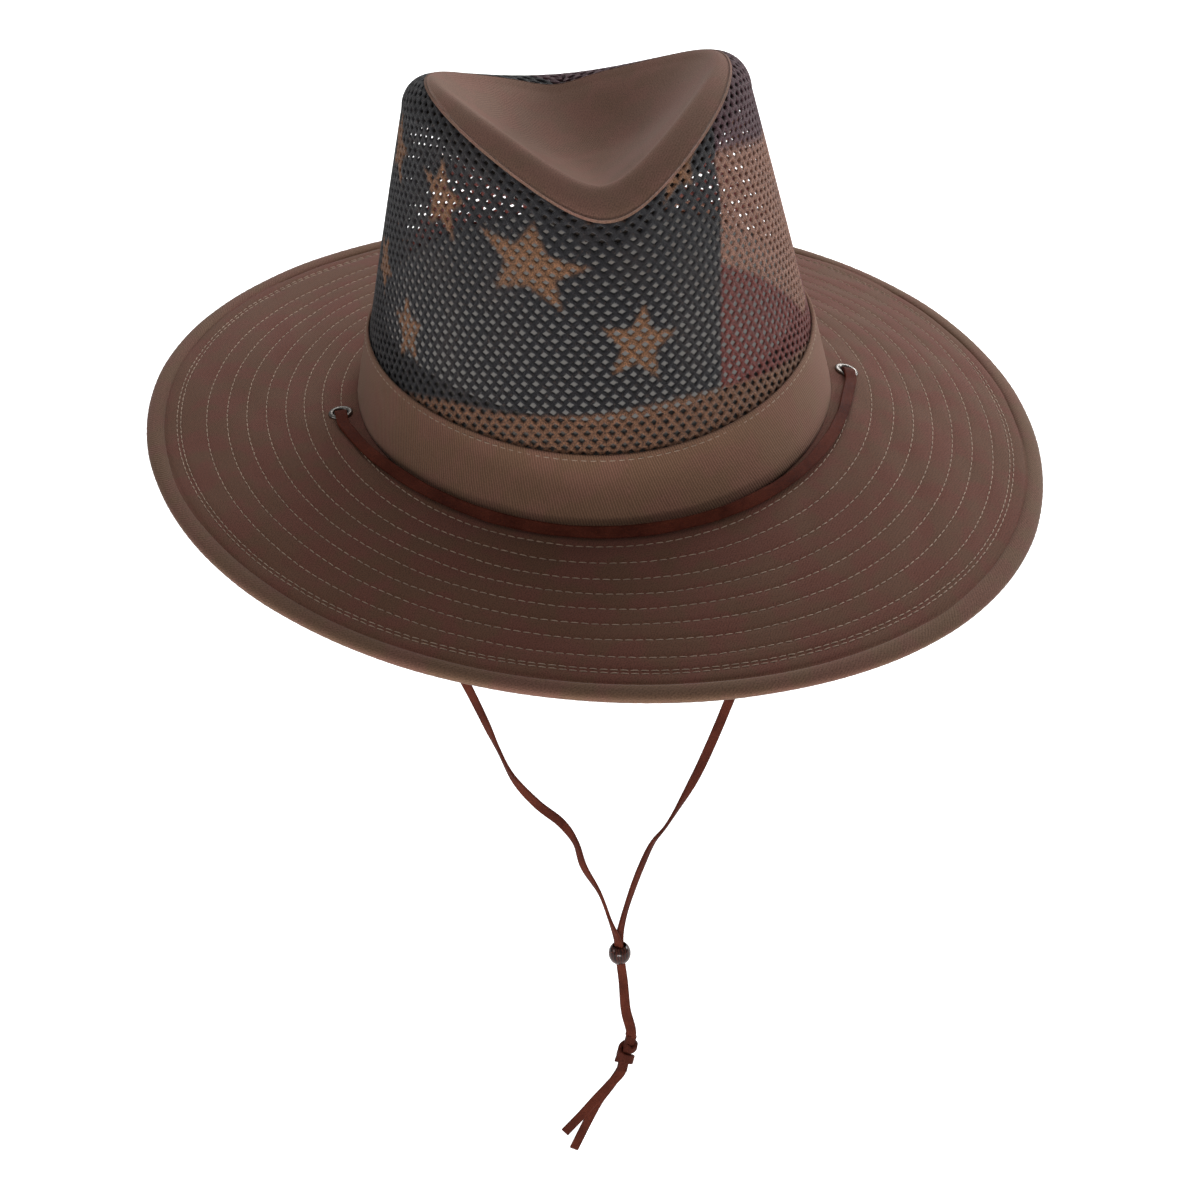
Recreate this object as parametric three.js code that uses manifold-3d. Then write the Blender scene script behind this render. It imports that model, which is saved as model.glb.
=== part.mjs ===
// An outback hat: a stitched twill brim with a rolled, wired edge, a crown of netting
// under a creased twill tip, a twill hatband, a sweatband, and one long leather lace
// that lies round the front of the crown, goes down through two eyelets and hangs as
// a chin strap with a wooden bead, a knot and two tails.
// Millimetres, +Z up, the front of the hat towards -Y. The origin is the middle of the
// head opening, level with the brim's inner edge. Left and right are as seen from the
// front. A turn is an angle round the head: 0 at the front, a quarter turn at the right.

import * as THREE from "three";
import { mergeVertices } from "three/addons/utils/BufferGeometryUtils.js";
import Module from "manifold-3d";

const GAP = 0.3;
const AROUND = 60;
const QUARTER = Math.PI / 2;

const opening = { halfWidth: 89, halfLength: 103.3, sideLift: 3.4 };
const brim = { width: 80, thickness: 2.4, sag: 0.29, inset: 0.4 };
const edge = { width: 7, height: 4.2, sides: 10 };
const band = { height: 26, thickness: 1.2 };
const sweat = { height: 37, thickness: 1.4 };

// Height of the brim's outer edge, as waves round the head: it droops most at the right.
const edgeWaves = [
  { wave: 0, cosine: -18.6, sine: 0 },
  { wave: 1, cosine: -7.4, sine: -13.7 },
  { wave: 2, cosine: -1.1, sine: -1.9 },
  { wave: 3, cosine: 1.2, sine: 0.2 },
];

const crown = {
  netThickness: 1,
  tipThickness: 1.2,
  crestFront: 59.6,
  crestBack: 62.3,
  crestHalfWidth: 60,
  crestCentre: 3.4,
  pinch: 0.52,
  pinchPower: 1.8,
  domeHeight: 154.2,
  frontDrop: 45.6,
  frontPower: 1.6,
  backDrop: 52.5,
  backPower: 2.13,
  shoulder: 12.1,
  drawIn: 0.086,
  hollowCentre: 16,
  hollowHeight: 90,
  hollowPower: 1.3,
};
// Shares of the way up the crown: 0 the foot, 1 the crest, 2 the middle of the hollow.
const shares = {
  shoulderStart: 0.8,
  seamFront: 0.872,
  seamBack: 1.063,
  seamPower: 0.93,
  seamHalfGap: 0.002,
};

const eyelet = { bore: 2.7, barrel: 3, flange: 4.6, rise: 1.1, out: 7, sides: 12 };
const lace = { width: 4.4, thickness: 1.3 };
const bead = { radius: 4.5, bore: 2.9, sides: 14 };

const colours = {
  twill: 0x57453a,
  net: 0x2e2f38,
  sweatband: 0x615e5b,
  leather: 0x4a1f18,
  bead: 0x2a120b,
  metal: 0x8c8a86,
};

function material(color, roughness, metalness = 0) {
  return new THREE.MeshStandardMaterial({ color, roughness, metalness });
}

// The head opening and the brim

function openingPoint(turn) {
  return new THREE.Vector3(opening.halfWidth * Math.sin(turn), -opening.halfLength * Math.cos(turn), 0);
}

function outward(turn) {
  const { halfWidth, halfLength } = opening;
  return new THREE.Vector3(halfLength * Math.sin(turn), -halfWidth * Math.cos(turn), 0).normalize();
}

function openingHeight(turn) {
  return -opening.sideLift * Math.cos(2 * turn);
}

function edgeHeight(turn) {
  return edgeWaves.reduce(
    (sum, { wave, cosine, sine }) => sum + cosine * Math.cos(wave * turn) + sine * Math.sin(wave * turn),
    0,
  );
}

// A point of the brim's top, a distance out from the head opening.
function brimTop(turn, out) {
  const share = out / brim.width;
  const drop = edgeHeight(turn) - openingHeight(turn);
  const point = openingPoint(turn).addScaledVector(outward(turn), out);
  point.z = openingHeight(turn) + drop * (share - brim.sag * share * (1 - share));
  return point;
}

// The same top counted inwards from the edge, so that its normal points up.
function brimInwards(turn, inwards) {
  return brimTop(turn, brim.width - inwards);
}

// The crown

function frontness(turn) {
  return (1 + Math.cos(turn)) / 2;
}

function crestPoint(turn) {
  const front = frontness(turn);
  const reach = Math.cos(turn) > 0 ? crown.crestFront : crown.crestBack;
  const narrowing = 1 - crown.pinch * front ** crown.pinchPower;
  return new THREE.Vector3(
    crown.crestHalfWidth * Math.sin(turn) * narrowing,
    crown.crestCentre - reach * Math.cos(turn),
    crown.domeHeight
      - crown.frontDrop * front ** crown.frontPower
      - crown.backDrop * (1 - front) ** crown.backPower,
  );
}

function seamShare(turn) {
  return shares.seamBack + (shares.seamFront - shares.seamBack) * frontness(turn) ** shares.seamPower;
}

// The wall stands inside the brim's inner edge, and the hatband fills the step.
function wallFoot(turn) {
  return openingPoint(turn).addScaledVector(outward(turn), -(band.thickness + GAP));
}

function crownPoint(turn, share) {
  const crest = crestPoint(turn);
  const away = new THREE.Vector3(crest.x, crest.y - crown.crestCentre, 0).normalize();
  if (share <= shares.shoulderStart) {
    const rise = share / shares.shoulderStart;
    const lean = Math.max(rise, 0) * (1 - crown.drawIn * (1 - rise));
    const top = crest.clone().addScaledVector(away, crown.shoulder);
    const point = wallFoot(turn).lerp(top, lean);
    point.z = openingHeight(turn) * (1 - rise) + rise * (crest.z - crown.shoulder);
    return point;
  }
  if (share <= 1) {
    const bend = ((share - shares.shoulderStart) / (1 - shares.shoulderStart)) * QUARTER;
    const point = crest.clone().addScaledVector(away, crown.shoulder * Math.cos(bend));
    point.z = crest.z - crown.shoulder * (1 - Math.sin(bend));
    return point;
  }
  const inwards = share - 1;
  const point = crest.clone().lerp(new THREE.Vector3(0, crown.hollowCentre, 0), inwards);
  point.z = crest.z + (crown.hollowHeight - crest.z) * Math.sin(inwards * QUARTER) ** crown.hollowPower;
  return point;
}

function shareAtHeight(turn, height) {
  return (shares.shoulderStart * height) / (crestPoint(turn).z - crown.shoulder);
}

// Closed meshes

function geometryOf(points, triangles) {
  const geometry = new THREE.BufferGeometry();
  geometry.setAttribute("position", new THREE.Float32BufferAttribute(points.flatMap((p) => p.toArray()), 3));
  geometry.setIndex(triangles.flat());
  return geometry;
}

function normalOf(surface, turn, along) {
  const turnStep = 0.002;
  const alongStep = 0.002;
  const round = surface(turn + turnStep, along).sub(surface(turn - turnStep, along));
  const over = surface(turn, along + alongStep).sub(surface(turn, along - alongStep));
  return round.cross(over).normalize();
}

function lifted(surface, turn, along, height) {
  return surface(turn, along).addScaledVector(normalOf(surface, turn, along), height);
}

// A loop round a wall's section: up its outer face and down its inner face.
function wallSection(surface, turn, stations, outer, inner) {
  const outside = stations.map((along) => lifted(surface, turn, along, outer));
  const inside = stations.map((along) => lifted(surface, turn, along, inner));
  return [...outside, ...inside.reverse()];
}

// A ring round the head, from a function that gives its section at each turn.
function ring(section) {
  const loops = Array.from({ length: AROUND }, (_, i) => section((i / AROUND) * 2 * Math.PI));
  const size = loops[0].length;
  const triangles = [];
  for (let i = 0; i < AROUND; i++) {
    for (let j = 0; j < size; j++) {
      const here = i * size;
      const next = ((i + 1) % AROUND) * size;
      const k = (j + 1) % size;
      triangles.push([here + j, next + j, next + k], [here + j, next + k, here + k]);
    }
  }
  return geometryOf(loops.flat(), triangles);
}

// A domed sheet: rings of points from its edge to a middle, on both faces.
function sheet(surface, stationsAt, middle, thickness) {
  const turns = Array.from({ length: AROUND }, (_, i) => (i / AROUND) * 2 * Math.PI);
  const loops = turns.map((turn) => wallSection(surface, turn, stationsAt(turn), 0, -thickness));
  const size = loops[0].length;
  const half = size / 2;
  const points = [...loops.flat(), middle, middle.clone().add(new THREE.Vector3(0, 0, -thickness))];
  const [top, under] = [points.length - 2, points.length - 1];
  const triangles = [];
  for (let i = 0; i < AROUND; i++) {
    const here = i * size;
    const next = ((i + 1) % AROUND) * size;
    for (let j = 0; j < size; j++) {
      const k = (j + 1) % size;
      if (j === half - 1) {
        triangles.push([here + j, next + j, top], [next + k, here + k, under]);
      } else {
        triangles.push([here + j, next + j, next + k], [here + j, next + k, here + k]);
      }
    }
  }
  return geometryOf(points, triangles);
}

// A flat lace through rows of a point and the direction across it.
function ribbon(rows) {
  const [half, thin] = [lace.width / 2, lace.thickness / 2];
  const corners = [
    [half, 0], [0.8 * half, thin], [-0.8 * half, thin], [-half, 0], [-0.8 * half, -thin], [0.8 * half, -thin],
  ];
  const size = corners.length;
  const last = rows.length - 1;
  const points = rows.flatMap(({ point, across }, i) => {
    const along = rows[Math.min(i + 1, last)].point.clone().sub(rows[Math.max(i - 1, 0)].point).normalize();
    const wide = across.clone().addScaledVector(along, -across.dot(along)).normalize();
    const thick = along.clone().cross(wide);
    return corners.map(([x, y]) => point.clone().addScaledVector(wide, x).addScaledVector(thick, y));
  });
  const triangles = [];
  for (let i = 0; i < last; i++) {
    for (let j = 0; j < size; j++) {
      const k = (j + 1) % size;
      const [a, b, c, d] = [i * size + j, i * size + k, (i + 1) * size + k, (i + 1) * size + j];
      triangles.push([a, b, c], [a, c, d]);
    }
  }
  for (let j = 1; j < size - 1; j++) {
    triangles.push([0, j + 1, j], [last * size, last * size + j, last * size + j + 1]);
  }
  return geometryOf(points, triangles);
}

function merged(geometry) {
  const bare = geometry.clone();
  bare.deleteAttribute("normal");
  bare.deleteAttribute("uv");
  return mergeVertices(bare, 1e-4);
}

const wasm = await Module();
wasm.setup();

function toManifold(geometry) {
  const source = merged(geometry);
  return new wasm.Manifold(new wasm.Mesh({
    numProp: 3,
    vertProperties: new Float32Array(source.attributes.position.array),
    triVerts: new Uint32Array(source.index.array),
  }));
}

function fromManifold(body) {
  const mesh = body.getMesh();
  const geometry = new THREE.BufferGeometry();
  geometry.setAttribute("position", new THREE.BufferAttribute(mesh.vertProperties, 3));
  geometry.setIndex(new THREE.BufferAttribute(mesh.triVerts, 1));
  return geometry;
}

// A profile of radius and height turned round the Z axis. It closes on itself, or on the axis.
function turned(profile, sides) {
  const closed = profile[0][0] === 0 ? profile : [...profile, profile[0]];
  const points = closed.map(([radius, height]) => new THREE.Vector2(radius, height));
  return merged(new THREE.LatheGeometry(points, sides).rotateX(QUARTER));
}

// The eyelets, one each side, square to the brim

function eyeletPlace(side) {
  const turn = side * (QUARTER - 0.03);
  const point = brimTop(turn, eyelet.out);
  const up = normalOf(brimInwards, turn, brim.width - eyelet.out);
  return { turn, point, up, tilt: new THREE.Quaternion().setFromUnitVectors(new THREE.Vector3(0, 0, 1), up) };
}

function eyeletGeometry() {
  const { bore, barrel, flange, rise } = eyelet;
  const under = -brim.thickness - GAP;
  return turned(
    [
      [bore, under - rise * 0.6],
      [barrel + 0.6, under - rise * 0.6],
      [flange - 0.2, under - rise * 0.3],
      [flange - 0.2, under],
      [barrel, under],
      [barrel, GAP],
      [flange, GAP],
      [flange, 0.5 * rise],
      [flange - 0.6, 0.9 * rise],
      [barrel + 0.3, rise],
      [bore, 0.8 * rise],
    ],
    eyelet.sides,
  );
}

function brimGeometry() {
  const inwards = [edge.width + GAP, 20, 34, 48, 62, 72, brim.width + brim.inset];
  let body = toManifold(ring((turn) => wallSection(brimInwards, turn, inwards, 0, -brim.thickness)));
  for (const side of [-1, 1]) {
    const { point, tilt } = eyeletPlace(side);
    const drill = new THREE.CylinderGeometry(eyelet.barrel + GAP, eyelet.barrel + GAP, 8, eyelet.sides);
    drill.rotateX(QUARTER).applyQuaternion(tilt).translate(point.x, point.y, point.z);
    body = body.subtract(toManifold(drill));
  }
  return fromManifold(body);
}

// The rolled edge: an oval tube round the wire, standing a little above and below the brim.
function edgeGeometry() {
  return ring((turn) =>
    Array.from({ length: edge.sides }, (_, i) => {
      const angle = (i / edge.sides) * 2 * Math.PI;
      const inwards = (edge.width / 2) * (1 - Math.cos(angle));
      const height = -brim.thickness / 2 + (edge.height / 2) * Math.sin(angle);
      return lifted(brimInwards, turn, inwards, height);
    }));
}

function netGeometry() {
  const foot = -brim.thickness;
  return ring((turn) => {
    const top = seamShare(turn) - shares.seamHalfGap;
    const start = shares.shoulderStart;
    const shoulder = [0, 0.25, 0.5, 0.75, 1].map((step) => start + (top - start) * step);
    const stations = [shareAtHeight(turn, foot), 0, start / 3, (2 * start) / 3, ...shoulder];
    return wallSection(crownPoint, turn, stations, 0, -crown.netThickness);
  });
}

function tipGeometry() {
  const steps = [0, 0.06, 0.12, 0.2, 0.35, 0.55, 0.78];
  const stationsAt = (turn) => {
    const start = seamShare(turn) + shares.seamHalfGap;
    return steps.map((step) => start + (2 - start) * step);
  };
  const middle = new THREE.Vector3(0, crown.hollowCentre, crown.hollowHeight);
  return sheet(crownPoint, stationsAt, middle, crown.tipThickness);
}

// A strip that follows the crown's wall between two heights, outside or inside it.
function wallStrip(low, high, outer, inner) {
  return ring((turn) => {
    const stations = [low, (low + high) / 2, high].map((height) => shareAtHeight(turn, height));
    return wallSection(crownPoint, turn, stations, outer, inner);
  });
}

// The lace on the brim: it lies flat near the eyelets and leans on the hatband in front.
const laceLies = [
  { turn: -79, out: 6.2, up: 1.1, lean: 4 },
  { turn: -70, out: 4.6, up: 1.4, lean: 20 },
  { turn: -60, out: 3.3, up: 2, lean: 40 },
  { turn: -48, out: 2.6, up: 2.5, lean: 56 },
  { turn: -32, out: 2.3, up: 2.7, lean: 62 },
  { turn: -16, out: 2.2, up: 2.7, lean: 62 },
  { turn: 0, out: 2.3, up: 2.7, lean: 62 },
  { turn: 16, out: 2.6, up: 2.6, lean: 58 },
  { turn: 30, out: 3, up: 2.2, lean: 46 },
  { turn: 44, out: 3.6, up: 1.8, lean: 30 },
  { turn: 58, out: 4.1, up: 1.4, lean: 16 },
  { turn: 70, out: 4.9, up: 1.2, lean: 8 },
  { turn: 79, out: 6, up: 1.1, lean: 2 },
];
// Where it rises over an eyelet's flange and goes down through the bore.
const laceEnters = [
  { along: 9, up: 1.3 },
  { along: 6.2, up: 1.9 },
  { along: 3.6, up: 2.2 },
  { along: 1.4, up: 1.7 },
  { along: 0.2, up: 0.3 },
  { along: 0, up: -1.6 },
  { along: 0, up: -3.6 },
];

function laceEnd(side) {
  const { turn, point, up } = eyeletPlace(side);
  const out = brimTop(turn, eyelet.out + 1).sub(point).normalize();
  const forward = out.clone().cross(up).multiplyScalar(side);
  return laceEnters.map((row) => ({
    point: point.clone().addScaledVector(forward, row.along).addScaledVector(up, row.up),
    across: out,
  }));
}

function laceFrontGeometry() {
  const lying = laceLies.map(({ turn, out, up, lean }) => {
    const angle = THREE.MathUtils.degToRad(turn);
    const tilt = THREE.MathUtils.degToRad(lean);
    const normal = normalOf(brimInwards, angle, brim.width - out);
    const down = brimTop(angle, out + 1).sub(brimTop(angle, out)).normalize();
    return {
      point: brimTop(angle, out).addScaledVector(normal, up),
      across: down.multiplyScalar(Math.cos(tilt)).addScaledVector(normal, -Math.sin(tilt)),
    };
  });
  const rows = [...laceEnd(-1).reverse(), ...lying, ...laceEnd(1)];
  const path = new THREE.CatmullRomCurve3(rows.map((row) => row.point), false, "centripetal");
  const smooth = [];
  rows.forEach((row, i) => {
    smooth.push(row);
    if (i >= laceEnters.length - 1 && i < rows.length - laceEnters.length) {
      const middle = path.getPoint((i + 0.5) / (rows.length - 1));
      smooth.push({ point: middle, across: row.across.clone().add(rows[i + 1].across) });
    }
  });
  return ribbon(smooth);
}

// The hanging lace. Each strand is a list of points from its eyelet down to the knot,
// and the two pass the bead's bore one behind the other. Two points before these are
// worked out from the eyelet.
const strandLeft = [
  [-94, -2.9, -14], [-88.6, -2.9, -32], [-81.5, -2.9, -52], [-73.5, -2.9, -74], [-64.5, -2.9, -97],
  [-55, -2.9, -119.5], [-49.4, -2.9, -134.6], [-44, -2.9, -150.3], [-37.9, -3, -165.8], [-29.2, -3.1, -178.5],
  [-19.9, -3.3, -188.5], [-14.8, -3.5, -198], [-12.1, -3.6, -209.4], [-6, -3.7, -223.3], [-2.3, -3.75, -236.6],
  [0.4, -3.75, -246.5], [1.1, -3.75, -254], [2.1, -3.75, -268], [2.7, -3.75, -282], [4.1, -3.75, -289.5],
  [4.5, -3.75, -292.4], [4.2, -3.75, -294.6],
];
const strandRight = [
  [92, -2.9, -14], [86.4, -2.9, -34], [79.2, -2.9, -57], [70.6, -2.9, -82], [59.6, -2.9, -110],
  [48.7, -2.9, -138.3], [41.8, -2.9, -155.6], [34.9, -2.8, -171.4], [28.1, -2.7, -184.3], [21.6, -2.6, -195.1],
  [16.2, -2.4, -202.2], [11.2, -2.3, -213.2], [6.6, -2.2, -225.9], [3.2, -2.15, -237.2], [1.3, -2.15, -246.5],
  [1.2, -2.15, -254], [2.2, -2.15, -268], [2.8, -2.15, -282], [4.2, -2.15, -289.5],
  [4.6, -2.15, -292.4], [4.3, -2.15, -294.6],
];
const tailLeft = [
  [0.25, -3.75, -309.95], [-0.5, -3.75, -311.8], [-5.1, -3.75, -317.2],
  [-11.2, -3.75, -323.9], [-17, -3.8, -330.6], [-24.6, -3.8, -338.8],
];
const tailRight = [
  [0.3, -2.15, -309.95], [-0.4, -2.15, -311.8], [-4.5, -2.15, -318.3],
  [-9.5, -2.15, -325.3], [-14, -2.1, -334], [-21, -2.1, -348.8],
];

function laceTube(points, steps) {
  const [half, thin] = [lace.width / 2, lace.thickness / 2];
  const section = new THREE.Shape(
    [[thin, -0.8 * half], [thin, 0.8 * half], [0.5 * thin, half], [-0.5 * thin, half],
      [-thin, 0.8 * half], [-thin, -0.8 * half], [-0.5 * thin, -half], [0.5 * thin, -half]]
      .map(([x, y]) => new THREE.Vector2(x, y)),
  );
  const path = new THREE.CatmullRomCurve3(points.map((p) => new THREE.Vector3(...p)), false, "centripetal");
  return merged(new THREE.ExtrudeGeometry(section, { steps, extrudePath: path, bevelEnabled: false }));
}

function strandGeometry(side, points) {
  const { point, up } = eyeletPlace(side);
  const leaves = [3.9, 7].map((depth) => point.clone().addScaledVector(up, -depth).toArray());
  return laceTube([...leaves, ...points], 34);
}

// The bead, bored for both strands.
const beadPlace = [1.1, -2.95, -253.2];

function beadGeometry() {
  const arcSteps = 7;
  const start = Math.acos(bead.bore / bead.radius);
  const profile = Array.from({ length: arcSteps + 1 }, (_, i) => {
    const angle = -start + (2 * start * i) / arcSteps;
    return [bead.radius * Math.cos(angle), bead.radius * Math.sin(angle)];
  });
  return turned(profile, bead.sides);
}

// The knot: both strands wound once round themselves, drawn as a core and two turns.
const knot = { place: [2.3, -2.95, -302.4], tilt: 0.25, halfLength: 7.4, radius: 3, endRadius: 2.4, sides: 10 };
const knotTurns = [
  { height: 2.4, tilt: 0.55, reach: 3, cord: 1.7 },
  { height: -2.2, tilt: -0.5, reach: 2.7, cord: 1.8 },
];

function knotGeometry() {
  const { halfLength, radius, endRadius, sides } = knot;
  const flank = [[endRadius, -halfLength], [radius, 0], [endRadius, halfLength]];
  const profile = [[0, -halfLength], ...flank, [0, halfLength]];
  let body = toManifold(turned(profile, sides).scale(1, 0.8, 1));
  for (const { height, tilt, reach, cord } of knotTurns) {
    const wrap = new THREE.TorusGeometry(reach, cord, 6, 10).rotateY(tilt).translate(0, 0, height);
    body = body.add(toManifold(wrap));
  }
  return fromManifold(body).rotateY(knot.tilt);
}

const twill = material(colours.twill, 0.85);
const leather = material(colours.leather, 0.6);
const hat = new THREE.Group();

function addPiece(name, geometry, finish, place = [0, 0, 0]) {
  const mesh = new THREE.Mesh(geometry, finish);
  mesh.name = name;
  mesh.position.set(...place);
  hat.add(mesh);
  return mesh;
}

addPiece("brim", brimGeometry(), twill);
addPiece("brim_edge", edgeGeometry(), twill);
addPiece("crown_net", netGeometry(), material(colours.net, 0.8));
addPiece("crown_tip", tipGeometry(), twill);
addPiece("hatband", wallStrip(GAP, band.height, GAP + band.thickness, GAP), twill);
const sweatOuter = -crown.netThickness - GAP;
const sweatStrip = wallStrip(-brim.thickness, sweat.height, sweatOuter, sweatOuter - sweat.thickness);
addPiece("sweatband", sweatStrip, material(colours.sweatband, 0.9));
for (const [name, side] of [["eyelet_left", -1], ["eyelet_right", 1]]) {
  const { point, tilt } = eyeletPlace(side);
  addPiece(name, eyeletGeometry(), material(colours.metal, 0.35, 0.9), point.toArray()).quaternion.copy(tilt);
}
addPiece("lace_front", laceFrontGeometry(), leather);
addPiece("lace_left", strandGeometry(-1, strandLeft), leather);
addPiece("lace_right", strandGeometry(1, strandRight), leather);
addPiece("bead", beadGeometry(), material(colours.bead, 0.25), beadPlace);
addPiece("knot", knotGeometry(), leather, knot.place);
addPiece("tail_left", laceTube(tailLeft, 8), leather);
addPiece("tail_right", laceTube(tailRight, 8), leather);

export default hat;
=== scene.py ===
# An outback hat, held up as on a head, with its leather lace hanging below the brim.
# +Z is up and the front of the hat is towards -Y. Left and right are as seen from the
# front. A turn is an angle round the head: 0 at the front, a quarter turn at the right.
# Shapes are worked out in millimetres, and every mesh is made in metres.
import math

import bpy
import numpy as np
from mathutils import Matrix, Vector


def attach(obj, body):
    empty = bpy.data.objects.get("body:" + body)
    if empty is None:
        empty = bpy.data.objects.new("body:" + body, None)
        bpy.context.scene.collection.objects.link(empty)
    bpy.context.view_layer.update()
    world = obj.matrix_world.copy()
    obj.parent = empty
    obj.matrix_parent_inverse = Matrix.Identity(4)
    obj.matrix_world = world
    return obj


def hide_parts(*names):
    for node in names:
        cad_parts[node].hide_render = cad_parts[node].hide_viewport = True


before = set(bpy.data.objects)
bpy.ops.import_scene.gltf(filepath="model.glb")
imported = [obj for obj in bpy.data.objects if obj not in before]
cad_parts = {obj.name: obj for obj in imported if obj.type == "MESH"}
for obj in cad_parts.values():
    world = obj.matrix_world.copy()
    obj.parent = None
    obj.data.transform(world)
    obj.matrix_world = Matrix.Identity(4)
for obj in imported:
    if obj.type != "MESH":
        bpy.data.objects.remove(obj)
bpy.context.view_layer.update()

# The view
#
# The camera stands in front of the hat and a little above it, with a long lens. The
# main soft box hangs behind the hat, others stand at its sides and in front, and a
# white table below the lace throws light back up.

MM = 0.001
camera = bpy.data.objects.new("camera", bpy.data.cameras.new("camera"))
bpy.context.scene.collection.objects.link(camera)
camera.data.lens = 139.585
camera.data.sensor_width = 36
camera.data.clip_end = 20
camera_right = (0.990583, -0.132486, -0.034538)
camera_up = (0.095963, 0.491919, 0.865336)
camera_back = (-0.09765, -0.8605, 0.5)
camera_place = (-0.176593, -1.548811, 0.809936)
camera.matrix_world = Matrix([
    (camera_right[i], camera_up[i], camera_back[i], camera_place[i]) for i in range(3)
] + [(0, 0, 0, 1)])
bpy.context.scene.camera = camera
bpy.context.scene.view_settings.view_transform = "Standard"


def soft_box(name, place, target, width, depth, power):
    lamp = bpy.data.lights.new(name, "AREA")
    lamp.shape = "RECTANGLE"
    lamp.size = width
    lamp.size_y = depth
    lamp.energy = power
    light = bpy.data.objects.new(name, lamp)
    bpy.context.scene.collection.objects.link(light)
    light.location = place
    light.rotation_euler = (Vector(target) - Vector(place)).to_track_quat("-Z", "Y").to_euler()


soft_box("back_box", (0.3, 1.3, 1.7), (0, 0, 0), 1.4, 0.9, 15)
soft_box("back_right_box", (0.9, 1.5, 0.9), (0, 0, 0), 0.9, 0.6, 14)
soft_box("right_box", (1.9, 0.6, 0.35), (0, 0, 0), 0.8, 0.5, 14)
soft_box("left_box", (-1.8, -0.3, 0.45), (0, 0, 0), 0.8, 0.6, 4)
soft_box("front_fill", (-0.25, -1.3, -0.33), (0, 0, 0), 0.8, 0.25, 2.5)
soft_box("low_fill", (-0.2, -0.8, -0.32), (0, 0, -0.15), 0.5, 0.09, 3)


def feed(tree, node, inputs):
    """Gives a node's inputs their values, or links them to another node's output."""
    for key, value in inputs.items():
        if isinstance(value, bpy.types.NodeSocket):
            tree.links.new(value, node.inputs[key])
        else:
            node.inputs[key].default_value = value


def add_node(tree, kind, inputs=None, **settings):
    made = tree.nodes.new(kind)
    for key, value in settings.items():
        setattr(made, key, value)
    feed(tree, made, inputs or {})
    return made


def ranged(tree, value, low, high, to_low=0.0, to_high=1.0):
    """The value, stretched from one range to another and held inside it."""
    return add_node(tree, "ShaderNodeMapRange", {
        "Value": value, "From Min": low, "From Max": high, "To Min": to_low, "To Max": to_high,
    }).outputs[0]


def new_material(name):
    made = bpy.data.materials.new(name)
    made.use_nodes = True
    return made, made.node_tree, made.node_tree.nodes["Principled BSDF"]


world = bpy.data.worlds.new("studio")
world.use_nodes = True
feed(world.node_tree, world.node_tree.nodes["Background"], {"Color": (1, 1, 1, 1), "Strength": 0.24})
bpy.context.scene.world = world

TABLE_HEIGHT = -0.372
TABLE_REACH = 9
TABLE_CORNERS = [(-1, -1), (1, -1), (1, 1), (-1, 1)]
TABLE_WHITE = (0.85, 0.85, 0.85, 1)
# The grey of the patch is painted shade, for the table under the hat.
TABLE_PAINTED_SHADE = (0.075, 0.071, 0.067, 1)


def set_sheet(name, outline, colour, glow):
    """A flat sheet of the set. To the camera it glows fully, so that no shadow shows on it,
    and to the hat by a share, as a lit table does."""
    mesh = bpy.data.meshes.new(name)
    mesh.from_pydata(outline, [], [tuple(range(len(outline)))])
    sheet = bpy.data.objects.new(name, mesh)
    bpy.context.scene.collection.objects.link(sheet)
    paper, tree, shader = new_material(name)
    seen = add_node(tree, "ShaderNodeLightPath").outputs["Is Camera Ray"]
    feed(tree, shader, {
        "Base Color": colour, "Roughness": 0.9, "Specular IOR Level": 0.1, "Emission Color": colour,
        "Emission Strength": ranged(tree, seen, 0.0, 1.0, glow, 1.0),
    })
    mesh.materials.append(paper)


set_sheet("white_table", [(x * TABLE_REACH, y * TABLE_REACH, TABLE_HEIGHT) for x, y in TABLE_CORNERS],
          TABLE_WHITE, 0.5)

# The head opening is an oval, and its two sides stand a little higher than its ends.
OPENING_HALF_WIDTH = 89
OPENING_HALF_LENGTH = 103.3
OPENING_SIDE_LIFT = 3.4
# The table has a grey sheet of painted shade where the head opening, a little widened, shows it through the
# netting: it stands in for the shade under the hat.
PATCH_LIFT = 0.001
PATCH_WIDENING = 1.2
PATCH_LOOK_HEIGHT = -0.006


def seen_on_table(point):
    """Where the camera sees a point's place on the table, a little above its top."""
    height = TABLE_HEIGHT + PATCH_LIFT
    drop = (height - camera_place[2]) / (point[2] - camera_place[2])
    x, y = (camera_place[i] + (point[i] - camera_place[i]) * drop for i in range(2))
    return x, y, height


# A grey sheet of painted shade, seen only through the netting.
set_sheet("painted_shade_patch", [
    seen_on_table((OPENING_HALF_WIDTH * MM * PATCH_WIDENING * math.sin(t),
                   -OPENING_HALF_LENGTH * MM * PATCH_WIDENING * math.cos(t), PATCH_LOOK_HEIGHT))
    for t in np.linspace(0, 2 * math.pi, 60, endpoint=False)
], TABLE_PAINTED_SHADE, 0)

# The lace
#
# One long flat leather lace, about 4.4 mm wide. It lies round the front of the crown,
# goes down through an eyelet at each side and hangs as the chin strap: both strands
# pass the bead, are tied in one knot and end in two tails.

LACE_FULL_WIDTH = 4.4
LACE_THICKNESS = 1.3
BRIM_WIDTH = 80
BRIM_THICKNESS = 2.4
BRIM_SAG = 0.29
# Height of the brim's outer edge, as waves round the head: count, cosine and sine part.
EDGE_WAVES = [(0, -18.6, 0), (1, -7.4, -13.7), (2, -1.1, -1.9), (3, 1.2, 0.2)]
QUARTER = math.pi / 2
EYELET_OUT = 7
EYELET_TURN = QUARTER - 0.03
# Small steps that measure a slope: round the head, and out on the brim.
TURN_STEP = 0.002
OUT_STEP = 0.2


def unit(vectors):
    return vectors / np.linalg.norm(vectors, axis=-1, keepdims=True)


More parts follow.
